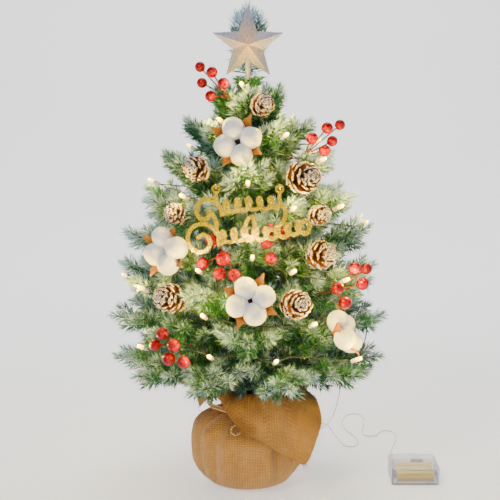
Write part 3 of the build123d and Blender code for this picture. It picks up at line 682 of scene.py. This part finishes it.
def pinecone_shader():
    """Brown scales, running to orange in streaks and from scale to scale, with white flocking on their rims.
    """
    sh = Shader("pinecone_scales")
    along, edge, own = sh.split(sh.attribute("scale"))
    streak = sh.noise(420, 4, 0.6, sh.stretch((1, 1, 0.35)))
    wood = sh.ramp(sh.plus(sh.times(streak, 0.6), sh.times(own, 0.4)),
                   (0.25, (0.040, 0.011, 0.003)), (0.5, (0.150, 0.046, 0.010)),
                   (0.8, (0.360, 0.125, 0.025)))  # fmt: skip
    rim = sh.plus(sh.math("POWER", along, 14.0), sh.times(sh.math("POWER", edge, 8.0), 0.12))
    patch = sh.noise(700, 4)
    snow = sh.times(rim, sh.ramp(patch, (0.30, 0.25), (0.62, 1.0)), clamp=True)
    cover = sh.ramp(snow, (0.50, 0.0), (0.93, 0.92))
    sh.set(Base_Color=sh.mix(cover, wood, (0.83, 0.83, 0.80)), Roughness=sh.ramp(cover, (0, 0.48), (1, 0.85)))
    return sh.relief(sh.plus(streak, patch), 0.5, 0.0005).material


verts, faces, tones = joined([pinecone(cone) for cone in cones])
pinecones = make_mesh("pinecone_scales", verts, [faces])
add_attribute(pinecones, "scale", tones)
place(pinecones, "root", ["pinecones"], pinecone_shader())


# --- Cotton bolls -------------------------------------------------------------------------
def globe(steps, rings):
    """Directions over a sphere and its faces; the poles are single points."""
    spots = [(0, 0, 1.0)]
    for ring in range(1, rings):
        polar = math.pi * ring / rings
        for step in range(steps):
            turn = 2 * math.pi * step / steps
            level = math.sin(polar)
            spots.append((level * math.cos(turn), level * math.sin(turn), math.cos(polar)))
    spots.append((0, 0, -1.0))
    quads, caps = [], []
    for ring in range(rings - 2):
        for step in range(steps):
            a = 1 + ring * steps + step
            b = 1 + ring * steps + (step + 1) % steps
            quads.append((a, a + steps, b + steps, b))
    last = len(spots) - 1
    for step in range(steps):
        after = (step + 1) % steps
        caps.append((0, 1 + step, 1 + after))
        caps.append((last, last - steps + after, last - steps + step))
    return np.array(spots), np.array(quads), np.array(caps)


def bumps(points, scale, seed):
    """A smooth, seeded sum of waves at each point, about -1 to 1."""
    waves = np.random.default_rng(seed)
    total = np.zeros(len(points))
    for _ in range(9):
        way = unit(waves.normal(0, 1, 3)) * scale * waves.uniform(0.6, 1.5)
        total += np.sin(points @ way + waves.uniform(0, 2 * math.pi))
    return total / 4.2


def cotton_shader():
    """Fluffy fibre: white, painted grey-cream in the hollows of its relief as painted shade, with soft sheen
    and a fine tangled relief.
    """
    sh = Shader("cotton_fibre")
    fluff = sh.noise(330, 8, 0.7)
    lint = sh.noise(1700, 6, 0.7)
    tangle = sh.node("ShaderNodeTexNoise", {"noise_type": "RIDGED_MULTIFRACTAL"},
                     Vector=sh.place, Scale=520.0, Detail=5.0).outputs["Fac"]  # fmt: skip
    # painted shade: the noise that shapes the relief also makes its hollows a darker grey-cream
    sh.set(Base_Color=sh.ramp(fluff, (0.30, (0.84, 0.81, 0.76)), (0.60, (0.94, 0.93, 0.91))))
    sh.set(Roughness=0.95, Sheen_Weight=0.6, Sheen_Roughness=0.5, Subsurface_Weight=0.35,
           Subsurface_Scale=0.003)  # fmt: skip
    sh.surface.inputs["Subsurface Radius"].default_value = (1.0, 0.9, 0.8)
    height = sh.plus(sh.plus(fluff, sh.times(lint, 0.35)), sh.times(tangle, 0.2))
    return sh.relief(height, 0.55, 0.0016).material


def sepal_shader():
    """Dry bracts: golden orange with darker ribs and a brown base."""
    sh = Shader("dry_sepal")
    along, edge, own = sh.split(sh.attribute("leaf"))
    ribs = sh.noise(900, 3, 0.5, sh.stretch((1, 1, 0.4)))
    tone = sh.plus(sh.times(ribs, 0.5), sh.times(along, 0.6))
    colour = sh.ramp(tone, (0.2, (0.110, 0.030, 0.003)), (0.5, (0.400, 0.120, 0.004)),
                     (0.85, (0.640, 0.240, 0.008)))  # fmt: skip
    sh.set(Base_Color=sh.mix(sh.times(own, 0.3), colour, (0.26, 0.10, 0.03)), Roughness=0.6)
    return sh.relief(sh.plus(ribs, sh.times(edge, 0.6)), 0.6, 0.0008).material


LOBE_SIZE = 0.0137
LOBE_REACH = 0.0162  # from the middle of the boll to the middle of a lobe
LOBE_TURN = 0.33  # the lobes are turned this way round from their CAD places
LOBE_SHARE = 0.985  # of the size, so that the bumps stay within it
SEPAL_TURN = 0.32  # the bracts turn with the lobes

cotton_material = cotton_shader()
directions, quads, caps = globe(40, 28)
for number, boll in enumerate(bolls, 1):
    verts, face_sets, offset = [], [[], []], 0
    for index, points in enumerate(boll.lobes):
        middle = centre_of(points)
        away = middle - boll.middle
        away = unit(away - (away @ boll.facing) * boll.facing)
        away = unit(away + LOBE_TURN * np.cross(boll.facing, away))
        middle = boll.middle + away * LOBE_REACH + boll.facing * ((middle - boll.middle) @ boll.facing)
        spots = middle + directions * LOBE_SIZE * LOBE_SHARE
        swell = 1 + 0.055 * bumps(spots, 230, number * 7 + index) + 0.022 * bumps(spots, 800, 60 + index)
        spots = middle + directions * (LOBE_SIZE * LOBE_SHARE * swell)[:, None]
        tuck = np.exp(-(((spots - boll.middle) @ away) / 0.006).clip(0) ** 2)
        spots -= boll.facing * (0.0022 * tuck)[:, None]
        verts.append(spots)
        face_sets[0].append(quads + offset)
        face_sets[1].append(caps + offset)
        offset += len(spots)
    piece = make_mesh(f"cotton_boll_{number}", np.concatenate(verts), [np.concatenate(f) for f in face_sets])
    place(piece, "root", ["cotton_lobes"], cotton_material)


def sepal(boll, way, seed):
    """A dry bract that comes out between two lobes, cupped, with a pointed tip that curls back."""
    draw = np.random.default_rng(seed)
    side = np.cross(boll.facing, way)
    curl = draw.uniform(0.0, 0.004)
    spine = [(0.003, -0.010), (0.013, -0.011), (0.021, -0.004), (0.0275, 0.003),
             (0.0335 + curl, 0.0075 - curl)]  # fmt: skip
    half = [0.0022, 0.0062, 0.0080, 0.0044, 0.0002]
    verts, tones = [], []
    rows = 13
    for row in range(rows):
        v = row / (rows - 1) * (len(spine) - 1)
        low = min(int(v), len(spine) - 2)
        t0 = v - low
        t = t0 * t0 * (3 - 2 * t0)
        out, lift = (spine[low][k] * (1 - t) + spine[low + 1][k] * t for k in (0, 1))
        wide = half[low] * (1 - t0) + half[low + 1] * t0
        for column in range(7):
            u = column / 3 - 1
            cup = 0.0030 * u * u * math.sin(math.pi * row / (rows - 1))
            point = boll.middle + way * out + boll.facing * (lift + cup) + side * wide * u
            verts += [point, point - boll.facing * 0.0007 * (1 - 0.8 * abs(u)) - way * 0.0001]
            tones += [(row / (rows - 1), abs(u), draw.random() * 0.2)] * 2
    faces = []
    for row in range(rows - 1):
        for column in range(6):
            a = (row * 7 + column) * 2
            b, c, d = a + 2, a + 16, a + 14
            faces += [(a, b, c, d), (d + 1, c + 1, b + 1, a + 1)]
        a, d = row * 14, row * 14 + 14
        faces.append((a, d, d + 1, a + 1))
        a, d = row * 14 + 12, row * 14 + 26
        faces.append((a + 1, d + 1, d, a))
    return np.array(verts), np.array(faces), np.array(tones)


leaves = []
for number, boll in enumerate(bolls):
    lobe_ways = [unit(centre_of(points) - boll.middle) for points in boll.lobes]
    lobe_ways = [unit(w - (w @ boll.facing) * boll.facing) for w in lobe_ways]
    level = lobe_ways[0]
    other = np.cross(boll.facing, level)
    angles = sorted(math.atan2(w @ other, w @ level) for w in lobe_ways)
    for index, angle in enumerate(angles):
        after = angles[(index + 1) % 4] + (2 * math.pi if index == 3 else 0)
        turn = (angle + after) / 2 + SEPAL_TURN
        leaves.append(sepal(boll, level * math.cos(turn) + other * math.sin(turn), number * 10 + index))
verts, faces, tones = joined(leaves)
sepals = make_mesh("cotton_bracts", verts, [faces])
add_attribute(sepals, "leaf", tones)
place(sepals, "root", ["cotton_sepals"], sepal_shader())


# --- Berries ------------------------------------------------------------------------------
def berry_shader():
    """Glossy red lacquer, darker where it pools, with a brown calyx end."""
    sh = Shader("berry_lacquer")
    tip = sh.split(sh.attribute("berry"))[0]
    mottle = sh.noise(240, 4)
    red = sh.ramp(mottle, (0.3, (0.200, 0.0, 0.0)), (0.7, (0.330, 0.0, 0.0003)))
    sh.set(Base_Color=sh.mix(sh.ramp(tip, (0.80, 0.0), (0.97, 0.9)), red, (0.03, 0.012, 0.008)))
    sh.set(Roughness=sh.ramp(sh.noise(900, 3), (0.3, 0.10), (0.7, 0.18)))
    sh.set(Coat_Weight=0.15, Coat_Roughness=0.04, Specular_IOR_Level=0.25)
    return sh.relief(sh.noise(500, 4), 0.10, 0.0004).material


directions, quads, caps = globe(28, 20)
parts_verts, parts_quads, parts_caps, tips = [], [], [], []
for index, (middle, radius) in enumerate(berries):
    outward = unit(np.array([middle[0], middle[1], 0]) * rng.uniform(0.7, 1.3) + rng.normal(0, 0.025, 3))
    first, second = across(outward)
    turned = directions[:, :1] * first + directions[:, 1:2] * second + directions[:, 2:] * outward
    dimple = 1 - 0.14 * np.exp(-((1 - directions[:, 2]) * 60)) + 0.012 * bumps(turned, 3.0, index)
    parts_verts.append(middle + turned * (radius * 0.995 * dimple)[:, None])
    parts_quads.append(quads + index * len(directions))
    parts_caps.append(caps + index * len(directions))
    tips.append((directions[:, 2] - 0.9).clip(0) * 10)
berry_piece = make_mesh("berry_clusters", np.concatenate(parts_verts),
                        [np.concatenate(parts_quads), np.concatenate(parts_caps)])  # fmt: skip
add_attribute(berry_piece, "berry", np.concatenate(tips)[:, None])
place(berry_piece, "root", ["red_berries"], berry_shader())


# --- Burlap -------------------------------------------------------------------------------
# Where the cloth runs from the middle of its underside up to the collar: (radius, height)
SACK_LINE = [(0, 0.6), (24, 0.6), (42, 0.8), (54, 5), (63, 18), (69.5, 40), (71.5, 60), (70.5, 76), (64, 92),
             (54, 102), (50.5, 107), (53, 113), (60, 121), (66, 128)]  # fmt: skip
# The cloth's edge round the pot, past the collar: (bearing, radius, height)
CLOTH_EDGE = [
    (-180, 77, 124), (-150, 84, 104), (-138, 97, 74), (-126, 86, 104), (-104, 76, 126), (-76, 78, 132),
    (-62, 90, 141), (-52, 100, 150), (-42, 86, 140), (-28, 74, 127), (-16, 74, 104), (-4, 80, 86),
    (10, 84, 80), (24, 93, 66), (34, 101, 54), (42, 106, 46), (47, 110, 62), (55, 115, 99),
    (62, 98, 121), (72, 80, 127), (98, 76, 130), (122, 82, 108), (134, 93, 84), (142, 98, 72),
    (152, 86, 102), (168, 77, 124), (180, 77, 124),
]  # fmt: skip
ROUND_STEPS = 560
SACK_STEPS = 96
FALL_STEPS = 34
NECK_HEIGHT = 107  # mm


def along_line(line, count):
    """Evenly spaced points on a smooth line through given ones."""
    line = np.array(line, float)
    knots = np.concatenate([[0], np.cumsum(np.linalg.norm(np.diff(line, axis=0), axis=1))])
    fine = np.linspace(0, knots[-1], count * 6)
    curve = np.stack([np.interp(fine, knots, line[:, k]) for k in range(line.shape[1])], axis=1)
    window = np.hanning(count // 2 * 2 + 1)
    window /= window.sum()
    half = len(window) // 2
    before = 2 * curve[:1] - curve[half:0:-1]
    after = 2 * curve[-1:] - curve[-2 : -half - 2 : -1]
    padded = np.concatenate([before, curve, after])
    curve = np.stack([np.convolve(padded[:, k], window, "valid") for k in range(curve.shape[1])], axis=1)
    knots = np.concatenate([[0], np.cumsum(np.linalg.norm(np.diff(curve, axis=0), axis=1))])
    even = np.linspace(0, knots[-1], count)
    return np.stack([np.interp(even, knots, curve[:, k]) for k in range(curve.shape[1])], axis=1), even


def ridge(turn, middle, width):
    """A rounded fold at one bearing, 1 at its crest."""
    gap = (turn - middle + 180) % 360 - 180
    return np.exp(-((gap / width) ** 2))


sack, sack_length = along_line(SACK_LINE, SACK_STEPS)
bearings = np.linspace(-180, 180, ROUND_STEPS, endpoint=False)
edge = np.array(CLOTH_EDGE, float)
edge_radius = np.interp(bearings, edge[:, 0], edge[:, 1])
edge_height = np.interp(bearings, edge[:, 0], edge[:, 2])
soft = np.hanning(15) / np.hanning(15).sum()
edge_radius = np.convolve(np.concatenate([edge_radius[-7:], edge_radius, edge_radius[:7]]), soft, "valid")
edge_height = np.convolve(np.concatenate([edge_height[-7:], edge_height, edge_height[:7]]), soft, "valid")

# deep gathers at the neck that die out down the belly, each with its own bearing and lean
gather_rng = np.random.default_rng(17)
GATHER_COUNT = 23
GATHERS = [
    (-176 + 360 / GATHER_COUNT * k + gather_rng.uniform(-4, 4), gather_rng.uniform(3.6, 6.2),
     gather_rng.uniform(-10, 10), gather_rng.uniform(0.6, 1.25)) for k in range(GATHER_COUNT)
]  # fmt: skip
# the large folds of the belly: (bearing at the neck, drift to the foot, width, height in mm)
BIG_FOLDS = [
    (17, 9, 5, 6.5), (-44, -8, 7, 6.0), (-14, -18, 9, 4.4), (46, 12, 9, 5.2), (84, 6, 11, 5.0),
    (118, -8, 10, 4.6), (152, 5, 11, 5.4), (-76, -6, 10, 5.2), (-112, 9, 10, 4.8), (-150, -7, 11, 5.0),
]  # fmt: skip

turn_grid = bearings[None, :]
height = sack[:, 1][:, None]
belly = np.clip((height - 2) / 30, 0, 1) * np.clip((112 - height) / 30, 0, 1)
neck = np.exp(-(((height - NECK_HEIGHT) / 17) ** 2)) + 0.55 * np.clip((height - 104) / 20, 0, 1)
radius = np.repeat(sack[:, 0][:, None], ROUND_STEPS, axis=1)
for middle, width, lean, size in GATHERS:
    drift = (NECK_HEIGHT - height) / NECK_HEIGHT * lean
    radius = radius + size * 3.1 * neck * (ridge(turn_grid, middle + drift, width) - 0.45)
    radius = radius + size * 1.1 * belly * ridge(turn_grid, middle + drift, width * 1.1)
for middle, drift, width, size in BIG_FOLDS:
    slide = (NECK_HEIGHT - height) / NECK_HEIGHT * drift
    hollow = ridge(turn_grid, middle + slide + 1.7 * width, width * 0.6)
    shape = ridge(turn_grid, middle + slide, width) - 0.55 * hollow
    radius = radius + size * 0.9 * np.clip(belly + 0.3 * neck, 0, 1) * shape
slow_wave = 1.1 * belly * np.sin(np.radians(turn_grid * 3 + height * 2.2))
quick_wave = 0.7 * belly * np.sin(np.radians(turn_grid * 7 - height * 4.1))
radius = np.where(height < 2.0, sack[:, 0][:, None], radius + (slow_wave + quick_wave))
radius = np.clip(radius, 0, 76.5)

theta = np.radians(bearings)
ring_out = np.stack([np.sin(theta), -np.cos(theta)], axis=1)
points = np.zeros((SACK_STEPS + FALL_STEPS, ROUND_STEPS, 3))
points[:SACK_STEPS, :, :2] = radius[..., None] * ring_out
points[:SACK_STEPS, :, 2] = np.maximum(height, 0.4)
collar = points[SACK_STEPS - 1]
rim = np.stack([ring_out[:, 0] * edge_radius, ring_out[:, 1] * edge_radius, edge_height], axis=1)
falls = np.clip((122 - edge_height) / 60, 0, 1)
for step in range(1, FALL_STEPS + 1):
    t = step / FALL_STEPS
    over = np.sin(math.pi * min(t * 1.25, 1)) * (2.0 + 9.0 * falls)
    out = collar + (rim - collar) * (t ** (1.0 + 0.4 * falls))[:, None]
    out[:, :2] += ring_out * over[:, None]
    out[:, 2] += np.sin(math.pi * t) * (3.0 + 5.0 * falls) * (1 - t)
    ripple = t * np.sin(np.radians(bearings * 17 + 40)) + 1.4 * t * np.sin(np.radians(bearings * 9 - 70))
    wave = ripple * (1 - 0.6 * falls) + 3.0 * falls * t * np.sin(np.radians(bearings * 6 - 120 * t + 20))
    out[:, :2] += ring_out * wave[:, None]
    points[SACK_STEPS - 1 + step] = out
points[..., 2] += 0.25 * np.sin(points[..., 0] * 0.9) * (points[..., 2] > 8)

total = SACK_STEPS + FALL_STEPS
grid = np.arange(total * ROUND_STEPS).reshape(total, ROUND_STEPS)
ahead = np.roll(grid, -1, axis=1)
quads = np.stack([grid[:-1], ahead[:-1], ahead[1:], grid[1:]], axis=-1).reshape(-1, 4)
burlap = make_mesh("burlap_cloth", points.reshape(-1, 3) * MM, [quads[ROUND_STEPS:]])
# how far round the cloth each place is, measured along its own row from the front
step_round = np.linalg.norm(np.roll(points, -1, axis=1) - points, axis=2)
round_way = np.cumsum(step_round, axis=1) - step_round
round_way -= round_way[:, ROUND_STEPS // 2 : ROUND_STEPS // 2 + 1]
step_up = np.linalg.norm(np.diff(points, axis=0), axis=2)
up_way = np.concatenate([np.zeros((1, ROUND_STEPS)), np.cumsum(step_up, axis=0)])
up_way[:SACK_STEPS] = sack_length[:, None]
up_way[SACK_STEPS:] += sack_length[-1] - up_way[SACK_STEPS - 1]
weave_place = np.stack([round_way, up_way, np.zeros((total, ROUND_STEPS))], axis=-1).reshape(-1, 3)
layer = burlap.data.attributes.new("cloth", "FLOAT_VECTOR", "POINT")
layer.data.foreach_set("vector", np.ascontiguousarray(weave_place, np.float32).reshape(-1))


def burlap_shader(name, woven=True):
    """Jute: coarse over-and-under threads with slubs, painted darker in the gaps between threads as painted
    shade, dull and fibrous.
    """
    sh = Shader(name)
    fibre = sh.noise(1500, 5, 0.65)
    broad = sh.noise(26, 3)
    if woven:
        flat = sh.node("ShaderNodeAttribute", {"attribute_name": "cloth"}).outputs["Vector"]
        wander = sh.node("ShaderNodeTexNoise", Vector=flat, Scale=0.10, Detail=3.0).outputs["Color"]
        moved = sh.node("ShaderNodeVectorMath", {"operation": "MULTIPLY_ADD"})
        sh.put(moved.inputs[0], wander)
        moved.inputs[1].default_value = (1.3, 1.3, 0)
        sh.put(moved.inputs[2], flat)
        parts = sh.node("ShaderNodeSeparateXYZ", Vector=moved.outputs[0])
        pitch = math.pi / 2.1
        warp = sh.math("SINE", sh.times(parts.outputs["X"], pitch))
        weft = sh.math("SINE", sh.times(parts.outputs["Y"], pitch))
        over = sh.times(warp, weft)  # sign says which thread lies on top
        warp_round = sh.math("POWER", sh.math("ABSOLUTE", warp), 0.7)
        weft_round = sh.math("POWER", sh.math("ABSOLUTE", weft), 0.7)
        top = sh.times(warp_round, weft_round)
        thread = sh.plus(sh.times(top, 0.75), sh.times(over, 0.16))
        slub = sh.node("ShaderNodeTexNoise", Vector=sh.stretch((0.9, 0.06, 1), flat), Scale=1.0, Detail=3.0)
        across_it = sh.stretch((0.06, 0.9, 1), flat)
        slub_too = sh.node("ShaderNodeTexNoise", Vector=across_it, Scale=1.0, Detail=3.0)
        slubs = sh.plus(slub.outputs["Fac"], slub_too.outputs["Fac"])
        # painted shade: the thread relief also sets the tone, so the gaps between threads are painted darker
        # and the thread crowns lighter
        tone = sh.plus(sh.times(thread, 0.50), sh.times(slubs, 0.26))
    else:
        thread = fibre
        tone = sh.times(fibre, 0.8)
    tone = sh.plus(tone, sh.times(sh.math("SUBTRACT", broad, 0.5), 0.35))
    tone = sh.plus(tone, sh.times(sh.math("SUBTRACT", fibre, 0.5), 0.35))
    sh.set(Base_Color=sh.ramp(tone, (0.12, (0.125, 0.046, 0.008)), (0.42, (0.490, 0.228, 0.050)),
                              (0.78, (0.850, 0.500, 0.160))))  # fmt: skip
    sh.set(Roughness=0.92, Sheen_Weight=0.25, Specular_IOR_Level=0.2)
    height = sh.plus(thread, sh.times(fibre, 0.3))
    return sh.relief(height, 0.75, 0.0009).material


burlap_material = burlap_shader("burlap_weave")
place(burlap, "root", ["burlap_wrap", "burlap_corners"], burlap_material)

# frayed threads along the cut edge
FRAY_THREADS = 760
THREAD_HALF = 0.00022
fray_verts, fray_faces = [], []
edge_points = points[-1] * MM
under_points = points[-2] * MM
for _ in range(FRAY_THREADS):
    k = int(rng.integers(ROUND_STEPS))
    start = edge_points[k]
    way = unit(start - under_points[k]) * 0.8 + rng.normal(0, 0.33, 3)
    size = rng.uniform(0.002, 0.0085) * (1.0 if falls[k] > 0.1 else 0.5)
    side, other = across(way)
    ahead = unit(way)
    path = [start - ahead * 0.0015, start + ahead * size * 0.5 + side * rng.normal(0, 0.0007),
            start + ahead * size + side * rng.normal(0, 0.0014) - np.array([0, 0, 0.18 * size])]  # fmt: skip
    first = len(fray_verts)
    for step, spot in enumerate(path):
        for turn in (0, 2.094, 4.189):
            spread = THREAD_HALF * (1 - 0.3 * step)
            fray_verts.append(spot + (side * math.cos(turn) + other * math.sin(turn)) * spread)
    for step in range(2):
        for k3 in range(3):
            a = first + step * 3 + k3
            b = first + step * 3 + (k3 + 1) % 3
            fray_faces.append((a, b, b + 3, a + 3))
fray = make_mesh("burlap_fray", np.array(fray_verts), [np.array(fray_faces)])
place(fray, "root", [], burlap_shader("burlap_threads", woven=False))


# --- Finishes of the CAD pieces -----------------------------------------------------------
def star_shader():
    """Frosted lilac-silver plastic with a painted warm glow inside: round a point its colour is painted warm
    and it gives off light, as painted light.
    """
    sh = Shader("star_frosted")
    low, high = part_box("star_front_shell")
    middle = ((low.x + high.x) / 2, (low.y + high.y) / 2 + 0.004, (low.z + high.z) / 2 - 0.004)
    gap = sh.node("ShaderNodeVectorMath", {"operation": "DISTANCE"})
    sh.put(gap.inputs[0], sh.place)
    gap.inputs[1].default_value = middle
    reach = sh.math("DIVIDE", gap.outputs["Value"], 0.047)
    # painted light: a warm glow round a point inside the star, fading outward
    glow = sh.ramp(reach, (0.0, 0.85), (0.28, 0.26), (0.60, 0.03), (0.85, 0.0))
    sparkle = sh.cells(900, output="Color")
    grain = sh.noise(1400, 4)
    colour = sh.mix(sh.times(grain, 0.8), (0.34, 0.33, 0.46), (0.60, 0.59, 0.74))
    # the painted glow turns the colour warm, and below it the shell gives off light
    colour = sh.mix(glow, colour, (0.80, 0.46, 0.05))
    sh.set(Base_Color=colour, Roughness=sh.ramp(sparkle, (0.2, 0.22), (0.8, 0.42)), Metallic=0.35)
    sh.set(Coat_Weight=0.5, Coat_Roughness=0.15, Emission_Color=(1.0, 0.58, 0.12, 1))
    sh.set(Emission_Strength=sh.times(glow, 0.40))
    return sh.relief(sh.plus(grain, sparkle), 0.25, 0.0003).material


def glitter_shader():
    """Gold glitter: small flakes, each tilted its own way, each painted its own brightness from dark to
    bright as painted shade and painted highlight, and a few giving off light as painted glints.
    """
    sh = Shader("gold_glitter")
    flakes = sh.node("ShaderNodeTexVoronoi", Vector=sh.place, Scale=1500.0)
    own = sh.split(flakes.outputs["Color"])
    # painted shade and painted highlight: each flake gets its own brightness of gold, from dark to bright
    colour = sh.ramp(own[0], (0.0, (0.18, 0.12, 0.0)), (0.35, (0.42, 0.32, 0.0)), (0.80, (0.64, 0.51, 0.0)),
                     (0.96, (1.0, 0.84, 0.05)))  # fmt: skip
    sh.set(Base_Color=colour, Metallic=1.0, Roughness=sh.ramp(own[1], (0, 0.22), (1, 0.5)))
    # painted glints: a few flakes give off warm light as painted highlights
    painted_glint = sh.ramp(own[2], (0.86, 0.0), (0.95, 1.0))
    sh.set(Emission_Color=(1.0, 0.70, 0.06, 1), Emission_Strength=sh.times(painted_glint, 0.25))
    height = sh.plus(own[1], sh.times(flakes.outputs["Distance"], 0.5))
    return sh.relief(height, 0.55, 0.0006).material


def lamp_shader():
    """A warm LED lens, its colour and light varying with a fine grain."""
    sh = Shader("led_lens")
    grain = sh.noise(900, 2)
    sh.set(Base_Color=sh.ramp(grain, (0.3, (1.0, 0.72, 0.20)), (0.7, (1.0, 0.82, 0.35))), Roughness=0.2)
    sh.set(Emission_Color=(1.0, 0.58, 0.03, 1), Emission_Strength=sh.plus(5.0, sh.times(grain, 3.0)))
    return sh.relief(grain, 0.1, 0.0002).material


def twisted(name, dark, light, scale, metal=0.0, rough=(0.4, 0.6), bump=0.6):
    """Strands wound round an axis, seen as slanting bands."""
    sh = Shader(name)
    bands = sh.node("ShaderNodeTexWave", {"bands_direction": "DIAGONAL"}, Vector=sh.place, Scale=scale,
                    Distortion=3.0, Detail=2.0).outputs["Fac"]  # fmt: skip
    fine = sh.noise(scale * 8, 4)
    tone = sh.plus(sh.times(bands, 0.7), sh.times(fine, 0.3))
    sh.set(Base_Color=sh.ramp(tone, (0.25, dark), (0.75, light)), Metallic=metal)
    sh.set(Roughness=sh.ramp(fine, (0.3, rough[0]), (0.7, rough[1])))
    return sh.relief(tone, bump, 0.0005).material


def clear_box_shader():
    """Milky clear styrene with faint flow marks."""
    sh = Shader("clear_box_plastic")
    flow = sh.noise(60, 3, 0.5, sh.stretch((1, 1, 4)))
    grain = sh.noise(700, 4)
    sh.set(Base_Color=sh.ramp(flow, (0.3, (0.90, 0.91, 0.90)), (0.7, (0.97, 0.97, 0.96))))
    sh.set(Roughness=sh.ramp(grain, (0.3, 0.10), (0.7, 0.24)), Transmission_Weight=0.90, IOR=1.12)
    return sh.relief(sh.plus(flow, sh.times(grain, 0.2)), 0.12, 0.0006).material


def cell_shader():
    """Cell wraps: yellow, with the lower half painted copper-brown as painted shade, and bright metal ends.
    """
    sh = Shader("cell_wraps")
    low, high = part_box("battery_cells")
    parts = sh.node("ShaderNodeSeparateXYZ", Vector=sh.place)
    lift = sh.math("DIVIDE", sh.math("SUBTRACT", parts.outputs["Z"], low.z), high.z - low.z)
    grain = sh.noise(400, 3)
    # painted shade: the lower half of the cells is painted a darker copper-brown
    wrap = sh.mix(sh.ramp(lift, (0.46, 0.0), (0.52, 1.0)), (0.46, 0.24, 0.09), (1.0, 0.70, 0.02))
    wrap = sh.mix(sh.times(grain, 0.20), wrap, (0.98, 0.78, 0.25))
    off = sh.math("ABSOLUTE", sh.math("SUBTRACT", parts.outputs["X"], (low.x + high.x) / 2))
    end = sh.math("GREATER_THAN", off, (high.x - low.x) / 2 - 0.0022)
    sh.set(Base_Color=sh.mix(end, wrap, (0.70, 0.70, 0.70)), Roughness=0.3,
           Metallic=sh.plus(0.25, sh.times(end, 0.7)))  # fmt: skip
    return sh.relief(grain, 0.1, 0.0003).material


def board_shader():
    """Solder mask over copper traces, with the dark switch body above."""
    sh = Shader("circuit_board_mask")
    low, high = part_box("circuit_board")
    parts = sh.node("ShaderNodeSeparateXYZ", Vector=sh.place)
    traces = sh.cells(260, "DISTANCE_TO_EDGE")
    green = sh.mix(sh.ramp(traces, (0.02, 1.0), (0.06, 0.0)), (0.010, 0.085, 0.035), (0.06, 0.24, 0.09))
    above = sh.math("GREATER_THAN", parts.outputs["Z"], low.z + 0.0013)
    sh.set(Base_Color=sh.mix(above, green, (0.02, 0.02, 0.022)),
           Roughness=sh.ramp(sh.noise(500), (0.3, 0.3), (0.7, 0.5)))  # fmt: skip
    return sh.relief(traces, 0.2, 0.0002).material


FINISHES = {
    "star_front_shell": star_shader(),
    "sign": glitter_shader(),
    "led_bulbs": lamp_shader(),
    "trunk_pole": twisted("trunk_wrap", (0.035, 0.022, 0.012), (0.110, 0.070, 0.035), 60),
    "tier_1_wires": twisted("branch_wire", (0.012, 0.035, 0.018), (0.045, 0.085, 0.045), 160, 0.4),
    "leader_wire": twisted("leader_wire", (0.012, 0.035, 0.018), (0.045, 0.085, 0.045), 160, 0.4),
    "neck_twine": twisted("jute_twine", (0.300, 0.150, 0.055), (0.760, 0.490, 0.240), 130, 0.0,
                          (0.85, 0.95), 0.9),  # fmt: skip
    "light_string_wire": twisted("string_wire", (0.020, 0.045, 0.024), (0.060, 0.090, 0.055), 220, 0.0,
                                 (0.35, 0.5)),  # fmt: skip
    "led_holders": speckled("clear_holder", (0.50, 0.50, 0.46), (0.80, 0.80, 0.74), 500, (0.15, 0.3), 0.1),
    "star_socket": speckled("socket_plastic", (0.30, 0.29, 0.32), (0.44, 0.43, 0.47), 400, (0.3, 0.5), 0.15),
    "pinecone_wires": speckled("green_wire", (0.020, 0.045, 0.020), (0.055, 0.095, 0.045), 600, (0.3, 0.5)),
    "berry_stems": speckled("pick_stem", (0.060, 0.010, 0.008), (0.170, 0.035, 0.022), 500,
                            (0.45, 0.65), 0.4),  # fmt: skip
    "cotton_stems": speckled("boll_stem", (0.045, 0.022, 0.010), (0.130, 0.065, 0.030), 400, (0.6, 0.8), 0.5),
    "sign_hooks": speckled("hook_wire", (0.50, 0.34, 0.08), (0.80, 0.60, 0.20), 700, (0.2, 0.35), 0.2,
                           metal=0.9),  # fmt: skip
    "base_pot": speckled("pot_plastic", (0.020, 0.020, 0.021), (0.050, 0.050, 0.050), 260, (0.4, 0.55), 0.25),
    "cement_fill": speckled("cement", (0.260, 0.250, 0.235), (0.500, 0.490, 0.460), 180, (0.8, 0.95), 0.8),
    "battery_case": clear_box_shader(),
    "battery_cells": cell_shader(),
    "contact_springs": speckled("spring_steel", (0.45, 0.45, 0.46), (0.74, 0.74, 0.74), 800, (0.2, 0.35), 0.1,
                                metal=1.0),  # fmt: skip
    "contact_plates": speckled("plate_steel", (0.50, 0.50, 0.51), (0.72, 0.72, 0.73), 600, (0.25, 0.4), 0.1,
                               metal=1.0),  # fmt: skip
    "circuit_board": board_shader(),
    "switch_slider": speckled("switch_plastic", (0.035, 0.035, 0.038), (0.075, 0.075, 0.080), 700),
    "cord_grommet": speckled("grommet_rubber", (0.55, 0.55, 0.54), (0.72, 0.72, 0.70), 600, (0.4, 0.6), 0.2),
}
SHARED = {"star_back_shell": "star_front_shell", "battery_cover": "battery_case"}
SHARED |= {f"tier_{tier}_wires": "tier_1_wires" for tier in range(2, 9)}
SHARED |= {f"loose_branch_{number}_wire": "tier_1_wires" for number in range(1, 7)}
for node in list(FINISHES) + list(SHARED):
    mesh = NODES[node].data
    mesh.materials.clear()
    mesh.materials.append(FINISHES[SHARED.get(node, node)])


# --- Lamps' light -------------------------------------------------------------------------
LAMP_POWER = 0.28
LAMP_COLOUR = (1.0, 0.66, 0.05)
LAMP_AHEAD = 0.010  # the light is this far before the lens

for number, lamp in enumerate(lamps):
    glow = bpy.data.lights.new(f"lamp_glow_{number}", "POINT")
    glow.energy = LAMP_POWER
    glow.color = LAMP_COLOUR
    glow.shadow_soft_size = 0.004
    light = bpy.data.objects.new(f"lamp_glow_{number}", glow)
    light.location = lamp.middle + lamp.facing * LAMP_AHEAD
    bpy.context.scene.collection.objects.link(light)
